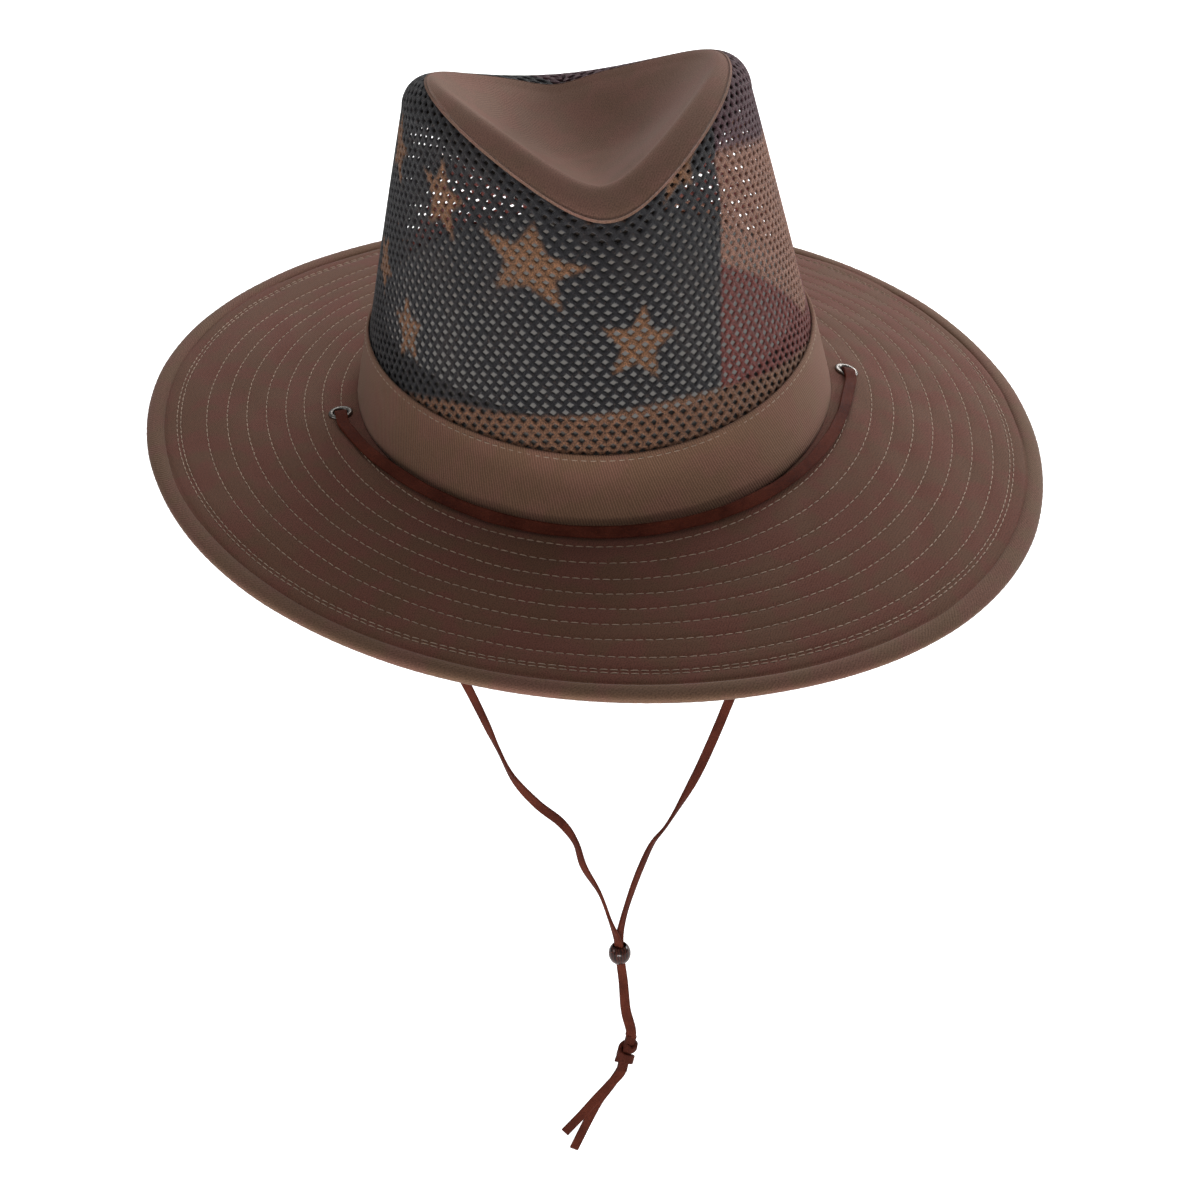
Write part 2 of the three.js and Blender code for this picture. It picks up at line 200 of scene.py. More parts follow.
def opening_point(turn):
    return np.stack([OPENING_HALF_WIDTH * np.sin(turn), -OPENING_HALF_LENGTH * np.cos(turn), 0 * turn], -1)


def outward(turn):
    """The level way square to the edge of the head opening."""
    across, ahead = OPENING_HALF_LENGTH * np.sin(turn), -OPENING_HALF_WIDTH * np.cos(turn)
    return unit(np.stack([across, ahead, 0 * turn], -1))


def opening_height(turn):
    return -OPENING_SIDE_LIFT * np.cos(2 * turn)


def edge_height(turn):
    return sum(
        cosine * np.cos(wave * turn) + sine * np.sin(wave * turn) for wave, cosine, sine in EDGE_WAVES
    )


def brim_top(turn, out):
    """A point of the brim's top, a distance out from the head opening."""
    turn, out = np.broadcast_arrays(np.asarray(turn, float), np.asarray(out, float))
    share = out / BRIM_WIDTH
    drop = edge_height(turn) - opening_height(turn)
    point = opening_point(turn) + outward(turn) * out[..., None]
    point[..., 2] = opening_height(turn) + drop * (share - BRIM_SAG * share * (1 - share))
    return point


def normal_of(surface, turn, along, along_step):
    round_way = surface(turn + TURN_STEP, along) - surface(turn - TURN_STEP, along)
    over_way = surface(turn, along + along_step) - surface(turn, along - along_step)
    return unit(np.cross(round_way, over_way))


def brim_normal(turn, out):
    turn, out = np.broadcast_arrays(np.asarray(turn, float), np.asarray(out, float))
    return -normal_of(brim_top, turn, out, OUT_STEP)


def eyelet_place(side):
    """An eyelet's turn, its middle on the brim's top, and the way square to the brim there."""
    turn = side * EYELET_TURN
    return turn, brim_top(turn, EYELET_OUT), brim_normal(turn, EYELET_OUT)


def run_along(line):
    """The distance along a line of points to each of them."""
    return np.concatenate([[0], np.cumsum(np.linalg.norm(np.diff(line, axis=0), axis=1))])


def read_between(where, places, rows):
    """Rows of three numbers that stand at places, read at other places between them."""
    return np.stack([np.interp(where, places, rows[:, axis]) for axis in range(3)], -1)


def smooth_line(points, step):
    """Evenly spaced points on a smooth curve through the given ones, and each one's
    place in the given list, as a number from 0 to its last index."""
    points = np.asarray(points, float)
    gaps = np.sqrt(np.linalg.norm(np.diff(points, axis=0), axis=1))
    padded = np.concatenate([[2 * points[0] - points[1]], points, [2 * points[-1] - points[-2]]])
    widths = np.concatenate([[gaps[0]], gaps, [gaps[-1]]])
    line, places = [], []
    for i in range(len(points) - 1):
        before, start, end, after = padded[i:i + 4]
        d0, d1, d2 = widths[i:i + 3]
        leave = ((start - before) / d0 - (end - before) / (d0 + d1) + (end - start) / d1) * d1
        arrive = ((end - start) / d1 - (after - start) / (d1 + d2) + (after - end) / d2) * d1
        t = np.linspace(0, 1, 24, endpoint=False)[:, None]
        curve = (
            start * (2 * t**3 - 3 * t**2 + 1) + leave * (t**3 - 2 * t**2 + t)
            + end * (3 * t**2 - 2 * t**3) + arrive * (t**3 - t**2)
        )
        line.append(curve)
        places.append(i + t[:, 0])
    line = np.concatenate(line + [points[-1:]])
    places = np.concatenate(places + [[len(points) - 1]])
    run = run_along(line)
    even = np.linspace(0, run[-1], max(2, round(run[-1] / step) + 1))
    return read_between(even, run, line), np.interp(even, run, places)


def softened(values, reach):
    """Values along a line, each averaged with its neighbours within reach."""
    values = np.asarray(values, float)
    padded = np.concatenate([values[:1].repeat(reach, 0), values, values[-1:].repeat(reach, 0)])
    return sum(padded[i:i + len(values)] for i in range(2 * reach + 1)) / (2 * reach + 1)


def make_piece(name, points, faces, material=None, maps=None):
    """A smooth mesh from points in millimetres and lists of faces. A map gives each
    point a place on the cloth, or each corner of each face."""
    points = np.asarray(points, float).reshape(-1, 3)
    lists = [np.asarray(part, np.int32) for part in faces if len(part)]
    corners = np.concatenate([part.ravel() for part in lists])
    sizes = np.concatenate([np.full(len(part), part.shape[1]) for part in lists])
    mesh = bpy.data.meshes.new(name)
    mesh.vertices.add(len(points))
    mesh.vertices.foreach_set("co", (points * MM).astype(np.float32).ravel())
    mesh.loops.add(len(corners))
    mesh.loops.foreach_set("vertex_index", corners)
    mesh.polygons.add(len(sizes))
    mesh.polygons.foreach_set("loop_start", np.concatenate([[0], np.cumsum(sizes)[:-1]]).astype(np.int32))
    mesh.update(calc_edges=True)
    mesh.polygons.foreach_set("use_smooth", np.ones(len(sizes), bool))
    for map_name, places in (maps or {}).items():
        places = np.asarray(places, float).reshape(-1, 2)
        if len(places) == len(points):
            places = places[corners]
        layer = mesh.uv_layers.new(name=map_name)
        layer.data.foreach_set("uv", places.astype(np.float32).ravel())
    mesh.validate()
    piece = bpy.data.objects.new(name, mesh)
    bpy.context.scene.collection.objects.link(piece)
    if material:
        mesh.materials.append(material)
    return piece


def sweep_faces(rows, size):
    """Faces of a tube whose rows of points follow one another, with both ends closed."""
    here = np.arange(rows - 1)[:, None] * size
    first, second = np.arange(size), (np.arange(size) + 1) % size
    sides = np.stack([here + first, here + second, here + size + second, here + size + first], -1)
    ends = [np.arange(size)[::-1], (rows - 1) * size + np.arange(size)]
    return [sides.reshape(-1, 4), np.array(ends)]


def lace_section(width, thickness):
    """The outline of a flat lace: two faces, and two cut edges a little rounded."""
    corner = 0.3 * thickness
    quarter = [(math.cos(a), math.sin(a)) for a in np.linspace(0, QUARTER, 4)]
    right_top = [(width / 2 - corner + corner * x, thickness / 2 - corner + corner * y) for x, y in quarter]
    top = [(width / 2 * share, thickness / 2) for share in (0.45, 0, -0.45)]
    left_top = [(-x, y) for x, y in reversed(right_top)]
    upper = right_top + top + left_top
    return np.array(upper + [(-x, -y) for x, y in upper])


def make_lace(name, middles, across, widths, material, thickness=LACE_THICKNESS):
    """A lace along a line of middles, with its width direction and its width at each."""
    along = unit(np.gradient(middles, axis=0))
    across = unit(across - (across * along).sum(-1, keepdims=True) * along)
    thick = np.cross(along, across)
    rows = []
    for middle, wide, up, width in zip(middles, across, thick, widths):
        outline = lace_section(width, thickness)
        rows.append(middle + outline[:, :1] * wide + outline[:, 1:] * up)
    size = len(rows[0])
    rounds = np.arange(size) / size
    places = np.stack(np.broadcast_arrays(rounds[None, :], run_along(middles)[:, None] / 100), -1)
    return make_piece(name, np.array(rows), sweep_faces(len(rows), size), material, {"leather": places})


def new_group(name, takes, gives):
    """A shader node group, its inputs' sockets and its output node. It takes and gives
    sockets by name, each of a kind."""
    tree = bpy.data.node_groups.new(name, "ShaderNodeTree")
    for sockets, way in ((takes, "INPUT"), (gives, "OUTPUT")):
        for socket, kind in sockets.items():
            tree.interface.new_socket(socket, in_out=way, socket_type="NodeSocket" + kind)
    return tree, add_node(tree, "NodeGroupInput").outputs, add_node(tree, "NodeGroupOutput")


def group_node(tree, group, inputs):
    return add_node(tree, "ShaderNodeGroup", inputs, node_tree=group).outputs


def noise(tree, place, scale, detail, roughness=0.5):
    return add_node(tree, "ShaderNodeTexNoise", {
        "Vector": place, "Scale": scale, "Detail": detail, "Roughness": roughness,
    }).outputs["Fac"]


def worked_out(tree, operation, first, second=0.5):
    """The answer to a sum of one value, or of two."""
    return add_node(tree, "ShaderNodeMath", {0: first, 1: second}, operation=operation).outputs[0]


def blend(tree, share, first, second, kind="MIX"):
    """A colour between two, by a share."""
    return add_node(tree, "ShaderNodeMix", {0: share, 6: first, 7: second}, data_type="RGBA",
                    blend_type=kind).outputs[2]


def add_bump(tree, shader, height, strength, distance):
    bump = add_node(tree, "ShaderNodeBump", {"Strength": strength, "Distance": distance, "Height": height})
    tree.links.new(bump.outputs[0], shader.inputs["Normal"])


def grain_group():
    """Leather grain: a height for the bump, and a mask that is 1 in the pores."""
    tree, given, out = new_group("leather_grain", {"Place": "Vector", "Grains In A Metre": "Float"},
                                 {"Height": "Float", "Pores": "Float"})
    cells = add_node(tree, "ShaderNodeTexVoronoi", {
        "Vector": given["Place"], "Scale": given["Grains In A Metre"], "Randomness": 0.9,
    }, feature="DISTANCE_TO_EDGE")
    creases = ranged(tree, cells.outputs["Distance"], 0, 0.25)
    fibres = noise(tree, given["Place"], 900, 6, 0.65)
    feed(tree, out, {
        "Height": worked_out(tree, "MULTIPLY", creases, fibres),
        "Pores": worked_out(tree, "SUBTRACT", 1.0, creases),
    })
    return tree


grain = grain_group()


def lace_leather(name, dark, rubbed_pale):
    """Dark red-brown leather, satin on its faces, with paler rubbed patches and fine pores."""
    material, tree, shader = new_material(name)
    place = add_node(tree, "ShaderNodeTexCoord").outputs["Object"]
    rubbed = ranged(tree, noise(tree, place, 70, 5, 0.6), 0.38, 0.68)
    fine = noise(tree, place, 1400, 3, 0.7)
    surface = group_node(tree, grain, {"Place": place, "Grains In A Metre": 1500})
    colour = blend(tree, rubbed, (*dark, 1), (*rubbed_pale, 1))
    colour = blend(tree, ranged(tree, fine, 0.45, 0.8, 0, 0.4), colour, (0.2, 0.055, 0.03, 1))
    colour = blend(tree, ranged(tree, surface["Pores"], 0.2, 1, 0, 0.45), colour, (0.022, 0.006, 0.004, 1))
    feed(tree, shader, {
        "Base Color": colour, "Roughness": ranged(tree, fine, 0.3, 0.7, 0.55, 0.75),
        "Specular IOR Level": 0.07,
    })
    add_bump(tree, shader, surface["Height"], 0.5, 0.0001)
    return material


leather = lace_leather("lace_leather", (0.065, 0.012, 0.006), (0.135, 0.03, 0.016))
# The knot's leather is darker than the lace's: painted shade, which stands in for the shade in its tight
# folds.
shaded_knot_leather = lace_leather("shaded_knot_leather", (0.035, 0.007, 0.004), (0.085, 0.018, 0.01))

# Where the lace lies on the brim: turn in degrees, how far out and up, and its lean.
LACE_LIES = [
    (-79, 6.2, 1.1, 4), (-70, 4.6, 1.4, 20), (-60, 3.3, 2, 40), (-48, 2.6, 2.5, 56), (-32, 2.3, 2.7, 62),
    (-16, 2.2, 2.7, 62), (0, 2.3, 2.7, 62), (16, 2.6, 2.6, 58), (30, 3, 2.2, 46), (44, 3.6, 1.8, 30),
    (58, 4.1, 1.4, 16), (70, 4.9, 1.2, 8), (79, 6, 1.1, 2),
]
# Where it rises over an eyelet's flange and goes down the bore: how far along, and up.
LACE_ENTERS = [(9, 1.3), (6.2, 1.9), (3.6, 2.2), (1.4, 1.7), (0.2, 0.3), (0, -1.6), (0, -3.6)]


def lace_end(side):
    turn, point, up = eyelet_place(side)
    out = unit(brim_top(turn, EYELET_OUT + 1) - point)
    forward = np.cross(out, up) * side
    return [(point + forward * along + up * height, out) for along, height in LACE_ENTERS]


def make_front_lace():
    rows = lace_end(-1)[::-1]
    for turn, out, up, lean in LACE_LIES:
        angle, tilt = math.radians(turn), math.radians(lean)
        normal = brim_normal(angle, out)
        down = unit(brim_top(angle, out + 1) - brim_top(angle, out))
        rows.append((brim_top(angle, out) + normal * up, down * math.cos(tilt) - normal * math.sin(tilt)))
    rows += lace_end(1)
    middles, places = smooth_line([point for point, _ in rows], 0.9)
    across = read_between(places, np.arange(len(rows)), np.array([way for _, way in rows]))
    turns = np.linspace(0, 1, len(middles))
    widths = LACE_FULL_WIDTH + 0.12 * np.sin(41 * turns) + 0.08 * np.sin(97 * turns + 1)
    return make_lace("lace_on_brim", middles, softened(across, 4), widths, leather)


lace_on_brim = make_front_lace()
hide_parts("lace_front")

# The hanging strands: points from below the eyelet to the knot.
STRAND_LEFT = [
    (-94, -2.9, -14), (-88.6, -2.9, -32), (-81.5, -2.9, -52), (-73.5, -2.9, -74), (-64.5, -2.9, -97),
    (-55, -2.9, -119.5), (-49.4, -2.9, -134.6), (-44, -2.9, -150.3), (-37.9, -3, -165.8),
    (-29.2, -3.1, -178.5), (-19.9, -3.3, -188.5), (-14.8, -3.5, -198), (-12.1, -3.6, -209.4),
    (-6, -3.7, -223.3), (-2.3, -3.75, -236.6), (0.4, -3.75, -246.5), (1.1, -3.75, -254),
    (2.1, -3.75, -268), (2.7, -3.75, -282), (4.1, -3.75, -289.5), (4.5, -3.75, -292.4),
    (4.2, -3.75, -294.6),
]
STRAND_RIGHT = [
    (92, -2.9, -14), (86.4, -2.9, -34), (79.2, -2.9, -57), (70.6, -2.9, -82), (59.6, -2.9, -110),
    (48.7, -2.9, -138.3), (41.8, -2.9, -155.6), (34.9, -2.8, -171.4), (28.1, -2.7, -184.3),
    (21.6, -2.6, -195.1), (16.2, -2.4, -202.2), (11.2, -2.3, -213.2), (6.6, -2.2, -225.9),
    (3.2, -2.15, -237.2), (1.3, -2.15, -246.5), (1.2, -2.15, -254), (2.2, -2.15, -268),
    (2.8, -2.15, -282), (4.2, -2.15, -289.5), (4.6, -2.15, -292.4), (4.3, -2.15, -294.6),
]
TAIL_LEFT = [
    (0.25, -3.75, -309.95), (-0.5, -3.75, -311.8), (-5.1, -3.75, -317.2),
    (-11.2, -3.75, -323.9), (-17, -3.8, -330.6), (-24.6, -3.8, -338.8),
]
TAIL_RIGHT = [
    (0.3, -2.15, -309.95), (-0.4, -2.15, -311.8), (-4.5, -2.15, -318.3),
    (-9.5, -2.15, -325.3), (-14, -2.1, -334), (-21, -2.1, -348.8),
]
# How each turns as it hangs: height, degrees of twist from flat to the front, width.
TWIST_LEFT = [
    (0, 60, 4.2), (-40, 40, 4.2), (-100, 20, 4), (-141, 52, 4), (-144, 62, 4), (-150, 76, 4), (-157, 80, 4),
    (-163, 66, 3.8), (-172, 34, 3.8), (-186, 8, 3.8), (-192, 20, 3.5), (-197, 58, 3.4), (-203, 52, 3.4),
    (-208, 42, 3.4), (-216, 60, 3.4), (-224, 82, 3.3), (-236, 84, 3.2), (-243, 60, 3.4), (-250, 30, 3.8),
    (-256, 0, 3.5), (-282, 0, 4.1), (-296, 0, 4.2),
]
TWIST_RIGHT = [
    (0, -60, 4.2), (-60, -40, 4.2), (-110, -15, 4), (-138, -8, 3.9), (-165, -10, 3.9), (-176, -30, 3.8),
    (-186, -66, 3.6), (-190, -78, 3.6), (-196, -84, 3.6), (-201, -70, 3.6), (-208, -56, 3.4),
    (-215, -48, 3.2), (-222, -50, 3.2), (-232, -58, 3), (-240, -50, 3.2), (-250, -20, 3.8),
    (-256, 6, 3.6), (-282, 6, 4.1), (-296, 0, 4.2),
]
TWIST_TAIL_LEFT = [(-309, 0, 3.8), (-314, 6, 3.8), (-325, 10, 3.7), (-340, 4, 3.7)]
TWIST_TAIL_RIGHT = [(-309, 0, 3.8), (-318, -8, 3.8), (-334, -16, 3.7), (-350, -8, 3.7)]
# The way that a lace's face looks where its twist is 0.
FACE_WAY = np.array([-0.1, -0.9, 0.42])
BELOW_EYELET = (3.9, 7)


def make_strand(name, points, twists):
    """A hanging lace: flat to the front where its twist is 0, edge on at a quarter turn."""
    middles, _ = smooth_line(points, 0.8)
    along = unit(np.gradient(middles, axis=0))
    front = unit(FACE_WAY - (along @ FACE_WAY)[:, None] * along)
    flat = np.cross(front, along)
    heights, twist, width = np.array(twists).T
    angles = softened(np.radians(np.interp(-middles[:, 2], -heights, twist)), 4)
    widths = softened(np.interp(-middles[:, 2], -heights, width), 3)
    across = flat * np.cos(angles)[:, None] + front * np.sin(angles)[:, None]
    return make_lace(name, middles, across, widths, leather), middles


def eyelet_leave(side):
    _, point, up = eyelet_place(side)
    return [point - up * depth for depth in BELOW_EYELET]


strand_left, line_left = make_strand("lace_strand_left", eyelet_leave(-1) + STRAND_LEFT, TWIST_LEFT)
strand_right, line_right = make_strand("lace_strand_right", eyelet_leave(1) + STRAND_RIGHT, TWIST_RIGHT)
end_left, line_end_left = make_strand("lace_tail_left", TAIL_LEFT, TWIST_TAIL_LEFT)
end_right, line_end_right = make_strand("lace_tail_right", TAIL_RIGHT, TWIST_TAIL_RIGHT)
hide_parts("lace_left")
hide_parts("lace_right")
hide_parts("tail_left")
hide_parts("tail_right")

# The knot
#
# Both strands are tied together in one overhand knot. It is drawn as the two straight
# strands inside, one lace wound round them, and a second turn pulled tight below it.

KNOT_PLACE = np.array([2.3, -2.95, -302.4])
KNOT_TILT = 0.25
# The straight strands reach a little past the turns, over the laces' ends that meet them.
KNOT_REACH = 8.8
KNOT_THICKNESS = 1.5
STRANDS_APART = 1.5
# The winding lace: where it starts and ends, and between them its turns round the
# strands, as an angle and a height.
KNOT_START = [(0.3, 0.3, 5.6), (-1.2, -0.5, 4.6)]
KNOT_END = [(0.6, 0.4, -5.2), (0.1, 0.2, -4.6)]
KNOT_WINDS = [
    (0.3, 2.6), (1.3, 3.6), (2.3, 3.4), (3.3, 2.2), (4.3, 0.6), (5.2, -0.8), (6.2, -1.6),
    (7.2, -2.4), (8.2, -3.6), (9.2, -4.6), (10.0, -4.9), (10.8, -4.2),
]
WIND_HALF_WIDTH = 3.1
WIND_HALF_DEPTH = 2.5
WIND_LACE_WIDTH = 4.1
STRAIGHT_LACE_WIDTH = 4.0


def knot_winding():
    """The lace wound round the two strands, narrowed where its ends go under."""
    loops = [(WIND_HALF_WIDTH * math.sin(angle), -WIND_HALF_DEPTH * math.cos(angle), rise)
             for angle, rise in KNOT_WINDS]
    middles, _ = smooth_line(KNOT_START + loops + KNOT_END, 0.5)
    radial = middles * np.array([1, 1.2, 0])
    across = np.cross(unit(np.gradient(middles, axis=0)), unit(radial + 1e-6))
    taper = np.sin(np.linspace(0.12, math.pi - 0.12, len(middles))) ** 0.5
    return middles, across, WIND_LACE_WIDTH * taper


def knot_strand(side):
    deep = side * STRANDS_APART / 2
    points = [(0.3, deep, KNOT_REACH), (0.1, deep, 3), (-0.2, deep, -3), (0, deep, -KNOT_REACH)]
    middles, _ = smooth_line(points, 0.7)
    return middles, np.tile([1.0, 0, 0], (len(middles), 1)), np.full(len(middles), STRAIGHT_LACE_WIDTH)


def joined(name, pieces):
    """One piece from several, keeping their maps and materials."""
    bpy.ops.object.select_all(action="DESELECT")
    for piece in pieces:
        piece.select_set(True)
    bpy.context.view_layer.objects.active = pieces[0]
    bpy.ops.object.join()
    pieces[0].name = name
    pieces[0].data.name = name
    return pieces[0]


knot_laces = [
    make_lace("knot_part", middles, softened(across, 2), widths, shaded_knot_leather, KNOT_THICKNESS)
    for middles, across, widths in (knot_winding(), knot_strand(-1), knot_strand(1))
]
tied_knot = joined("lace_knot", knot_laces)
tied_knot.data.transform(Matrix.Translation(Vector(KNOT_PLACE * MM)) @ Matrix.Rotation(KNOT_TILT, 4, "Y"))
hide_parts("knot")

# The bead
#
# A small turned wooden bead, stained dark red-brown and varnished, bored wide enough
# for both strands. It slides on the lace to tighten the chin strap.

BEAD_PLACE = (1.1, -2.95, -253.2)
BEAD_RADIUS = 4.5
BEAD_STRETCH = 1.12
BEAD_BORE = 2.9
BORE_LIP = 0.25


def round_turns(count):
    """Evenly spaced angles once round."""
    return np.arange(count) / count * 2 * math.pi


def ring_faces(around, size):
    """Faces of a closed outline of points that is repeated round an axis."""
    here = np.arange(around)[:, None] * size
    after = (np.arange(around)[:, None] + 1) % around * size
    k = np.arange(size)
    k2 = (k + 1) % size
    return np.stack([here + k, after + k, after + k2, here + k2], -1).reshape(-1, 4)


def make_turned(name, profile, sides, material):
    """A closed profile of radius and height, turned round the Z axis."""
    profile = np.asarray(profile, float)
    angles = round_turns(sides)
    ring = np.stack([np.cos(angles), np.sin(angles)], -1)
    points = np.concatenate([
        profile[None, :, :1] * ring[:, None, :],
        np.broadcast_to(profile[None, :, 1:], (sides, len(profile), 1)),
    ], -1)
    return make_piece(name, points, [ring_faces(sides, len(profile))], material)


def bead_varnish():
    """Dark stained wood with grain rings, under a clear glossy varnish."""
    material, tree, shader = new_material("bead_wood")
    place = add_node(tree, "ShaderNodeTexCoord").outputs["Object"]
    rings = add_node(tree, "ShaderNodeTexWave", {
        "Vector": place, "Scale": 260, "Distortion": 5, "Detail": 3, "Detail Scale": 2,
    }, wave_type="BANDS", bands_direction="X").outputs["Fac"]
    pores = noise(tree, place, 900, 4)
    colour = blend(tree, rings, (0.012, 0.004, 0.003, 1), (0.07, 0.017, 0.01, 1))
    colour = blend(tree, ranged(tree, pores, 0.5, 0.75, 0, 0.5), colour, (0.006, 0.003, 0.002, 1))
    feed(tree, shader, {
        "Base Color": colour, "Roughness": ranged(tree, pores, 0.3, 0.7, 0.22, 0.34),
        "Specular IOR Level": 0.12, "Coat Weight": 0.42, "Coat Roughness": 0.08,
    })
    add_bump(tree, shader, pores, 0.15, 0.0002)
    return material


def make_bead():
    start = math.acos(BEAD_BORE / BEAD_RADIUS)
    around = [(BEAD_RADIUS * math.cos(a), BEAD_STRETCH * BEAD_RADIUS * math.sin(a))
              for a in np.linspace(-start, start, 29)]
    top = around[-1][1]
    bore_top = [(BEAD_BORE - 0.1, top + 0.02), (BEAD_BORE - BORE_LIP, top - 0.2)]
    bore = [(BEAD_BORE - BORE_LIP, height) for height in (2, 0, -2)]
    bore_low = [(radius, -height) for radius, height in reversed(bore_top)]
    bead = make_turned("wooden_bead", around + bore_top + bore + bore_low, 56, bead_varnish())
    bead.data.transform(Matrix.Translation(Vector(BEAD_PLACE) * MM))
    return bead


wooden_bead = make_bead()
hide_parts("bead")


for piece in (lace_on_brim, strand_left, strand_right, end_left, end_right, tied_knot, wooden_bead):
    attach(piece, "root")

# The eyelets
#
# Two nickel-plated brass eyelets, one at each side. Each is a short tube through the
# brim with a domed flange on top, closed over below, and a little tarnished.

EYELET_BORE = 2.7
EYELET_BARREL = 3
EYELET_FLANGE = 4.6
EYELET_RISE = 1.1
DOME_ROUND = 0.85
DOME_FOOT = 0.35
MOUTH_ROUND = 0.75
CURL_DROP = 0.3


def eyelet_nickel():
    """Dull nickel plate, a little tarnished and scuffed."""
    material, tree, shader = new_material("eyelet_nickel")
    place = add_node(tree, "ShaderNodeTexCoord").outputs["Object"]
    stain = ranged(tree, noise(tree, place, 350, 5, 0.6), 0.35, 0.7)
    scuffs = noise(tree, place, 2600, 2)
    feed(tree, shader, {
        "Base Color": blend(tree, stain, (0.26, 0.245, 0.23, 1), (0.09, 0.08, 0.07, 1)),
        "Metallic": 1, "Roughness": ranged(tree, scuffs, 0.3, 0.7, 0.26, 0.46),
    })
    add_bump(tree, shader, scuffs, 0.2, 0.0001)
    return material


def eyelet_profile():
    """The eyelet's outline: the domed flange, the bore, the curl below, and the barrel."""
    dome = [(EYELET_FLANGE - DOME_ROUND + DOME_ROUND * math.cos(a),
             DOME_FOOT + (EYELET_RISE - DOME_FOOT) * math.sin(a)) for a in np.linspace(0, QUARTER, 8)]
    mouth = [(EYELET_BORE + MOUTH_ROUND - MOUTH_ROUND * math.sin(a),
              EYELET_RISE - MOUTH_ROUND + MOUTH_ROUND * math.cos(a)) for a in np.linspace(0.15, QUARTER, 8)]
    under = -BRIM_THICKNESS - CURL_DROP
    curl = [
        (EYELET_BORE, under - 0.2), (EYELET_BORE + 0.25, under - 0.55),
        (EYELET_BARREL + 0.6, under - 0.62), (EYELET_FLANGE - 0.5, under - 0.45),
        (EYELET_FLANGE - 0.2, under - 0.15), (EYELET_FLANGE - 0.3, under),
    ]
    barrel = [(EYELET_BARREL, under), (EYELET_BARREL, 0.1), (EYELET_FLANGE - 0.1, 0.1)]
    return dome + mouth + [(EYELET_BORE, -1.2)] + curl + barrel


def stand(piece, place, way):
    """Moves a turned piece to its place, with its Z axis along the way."""
    upright = Vector((0, 0, 1)).rotation_difference(Vector(way)).to_matrix().to_4x4()
    piece.data.transform(Matrix.Translation(Vector(place) * MM) @ upright)


nickel = eyelet_nickel()
for side, node in ((-1, "eyelet_left"), (1, "eyelet_right")):
    _, middle, up = eyelet_place(side)
    ring = make_turned("ring_" + node, eyelet_profile()[::-1], 48, nickel)
    stand(ring, middle, up)
    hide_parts(node)
    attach(ring, "root")

# The brim
#
# Two layers of brown cotton twill over a stiffener, 2.4 mm thick in all. Rows of tan
# stitching run round it and draw the cloth down into shallow channels, with a double
# row near the rim.

STITCH_ROWS = [6.4, 14.1, 21.5, 28.6, 36, 43.4, 50.8, 58.6, 66.9, 68.3]
STITCH_PITCH = 3.6
STITCH_LENGTH = 3.05
THREAD_RADIUS = 0.22
# The rows between these distances out run a little off centre: forwards, and to the right.
OFF_CENTRE = [(0, 0), (8, 0.2), (24, 1), (59, 1), (66, 0), (80, 0)]
ROWS_FORWARDS = 2.8
ROWS_RIGHTWARDS = 1.4
ROLL_WIDTH = 7
CHANNEL_DEPTH = 0.28
CHANNEL_WIDTH = 0.9
GROOVE_DEPTH = 0.5
GROOVE_WIDTH = 0.5


def twill_group():
    """Twill weave from a place on the cloth in metres: a height, and a tone from 0 to 1 that mixes random
    fluff with painted shade where the height is low between the ribs.
    """
    tree, given, out = new_group(
        "twill_weave",
        {"Cloth": "Vector", "Slant": "Float", "Ribs In A Metre": "Float", "Ribbing": "Float"},
        {"Height": "Float", "Tone": "Float"},
    )
    wander = add_node(tree, "ShaderNodeTexNoise", {"Vector": given["Cloth"], "Scale": 160, "Detail": 3})
    sway = add_node(tree, "ShaderNodeVectorMath", {0: wander.outputs["Color"], 1: (0.0009, 0.0009, 0)},
                    operation="MULTIPLY")
    moved = add_node(tree, "ShaderNodeVectorMath", {0: given["Cloth"], 1: sway.outputs[0]},
                     operation="ADD")
    turned = add_node(tree, "ShaderNodeVectorRotate", {"Vector": moved.outputs[0], "Angle": given["Slant"]},
                      rotation_type="Z_AXIS")
    parts = add_node(tree, "ShaderNodeSeparateXYZ", {0: turned.outputs[0]}).outputs

    def wave(along, share):
        count = worked_out(tree, "MULTIPLY", given["Ribs In A Metre"], 2 * math.pi * share)
        phase = worked_out(tree, "MULTIPLY", along, count)
        return ranged(tree, worked_out(tree, "SINE", phase), -1, 1)

    thread_tops = ranged(tree, wave(parts["Y"], 1.9), 0, 1, 0.72, 1)
    height = worked_out(tree, "MULTIPLY", wave(parts["X"], 1), thread_tops)
    lint = noise(tree, given["Cloth"], 1900, 3, 0.7)
    fluff = ranged(tree, lint, 0.32, 0.68, 0.1, 1.35)
    tone = add_node(tree, "ShaderNodeMix", {0: given["Ribbing"], 2: fluff, 3: height}, data_type="FLOAT")
    feed(tree, out, {"Height": height, "Tone": tone.outputs[0]})
    return tree


def dye_group():
    """Uneven dye: a colour that drifts between three shades of the cloth."""
    tree, given, out = new_group(
        "uneven_dye",
        {"Place": "Vector", "Deep": "Color", "Middle": "Color", "Warm": "Color"},
        {"Color": "Color", "Wear": "Float"},
    )
    broad = ranged(tree, noise(tree, given["Place"], 22, 4, 0.6), 0.35, 0.65)
    patches = noise(tree, given["Place"], 75, 2)
    colour = blend(tree, broad, given["Deep"], given["Middle"])
    colour = blend(tree, ranged(tree, patches, 0.44, 0.58, 0, 0.9), colour, given["Warm"])
    feed(tree, out, {"Color": colour, "Wear": ranged(tree, patches, 0.4, 0.75)})
    return tree


twill_weave = twill_group()
uneven_dye = dye_group()


def toned(tree, colour, shade):
    """The colour, made darker or paler by a shade."""
    tone = add_node(tree, "ShaderNodeCombineColor", {0: shade, 1: shade, 2: shade})
    return blend(tree, 1.0, colour, tone.outputs[0], "MULTIPLY")


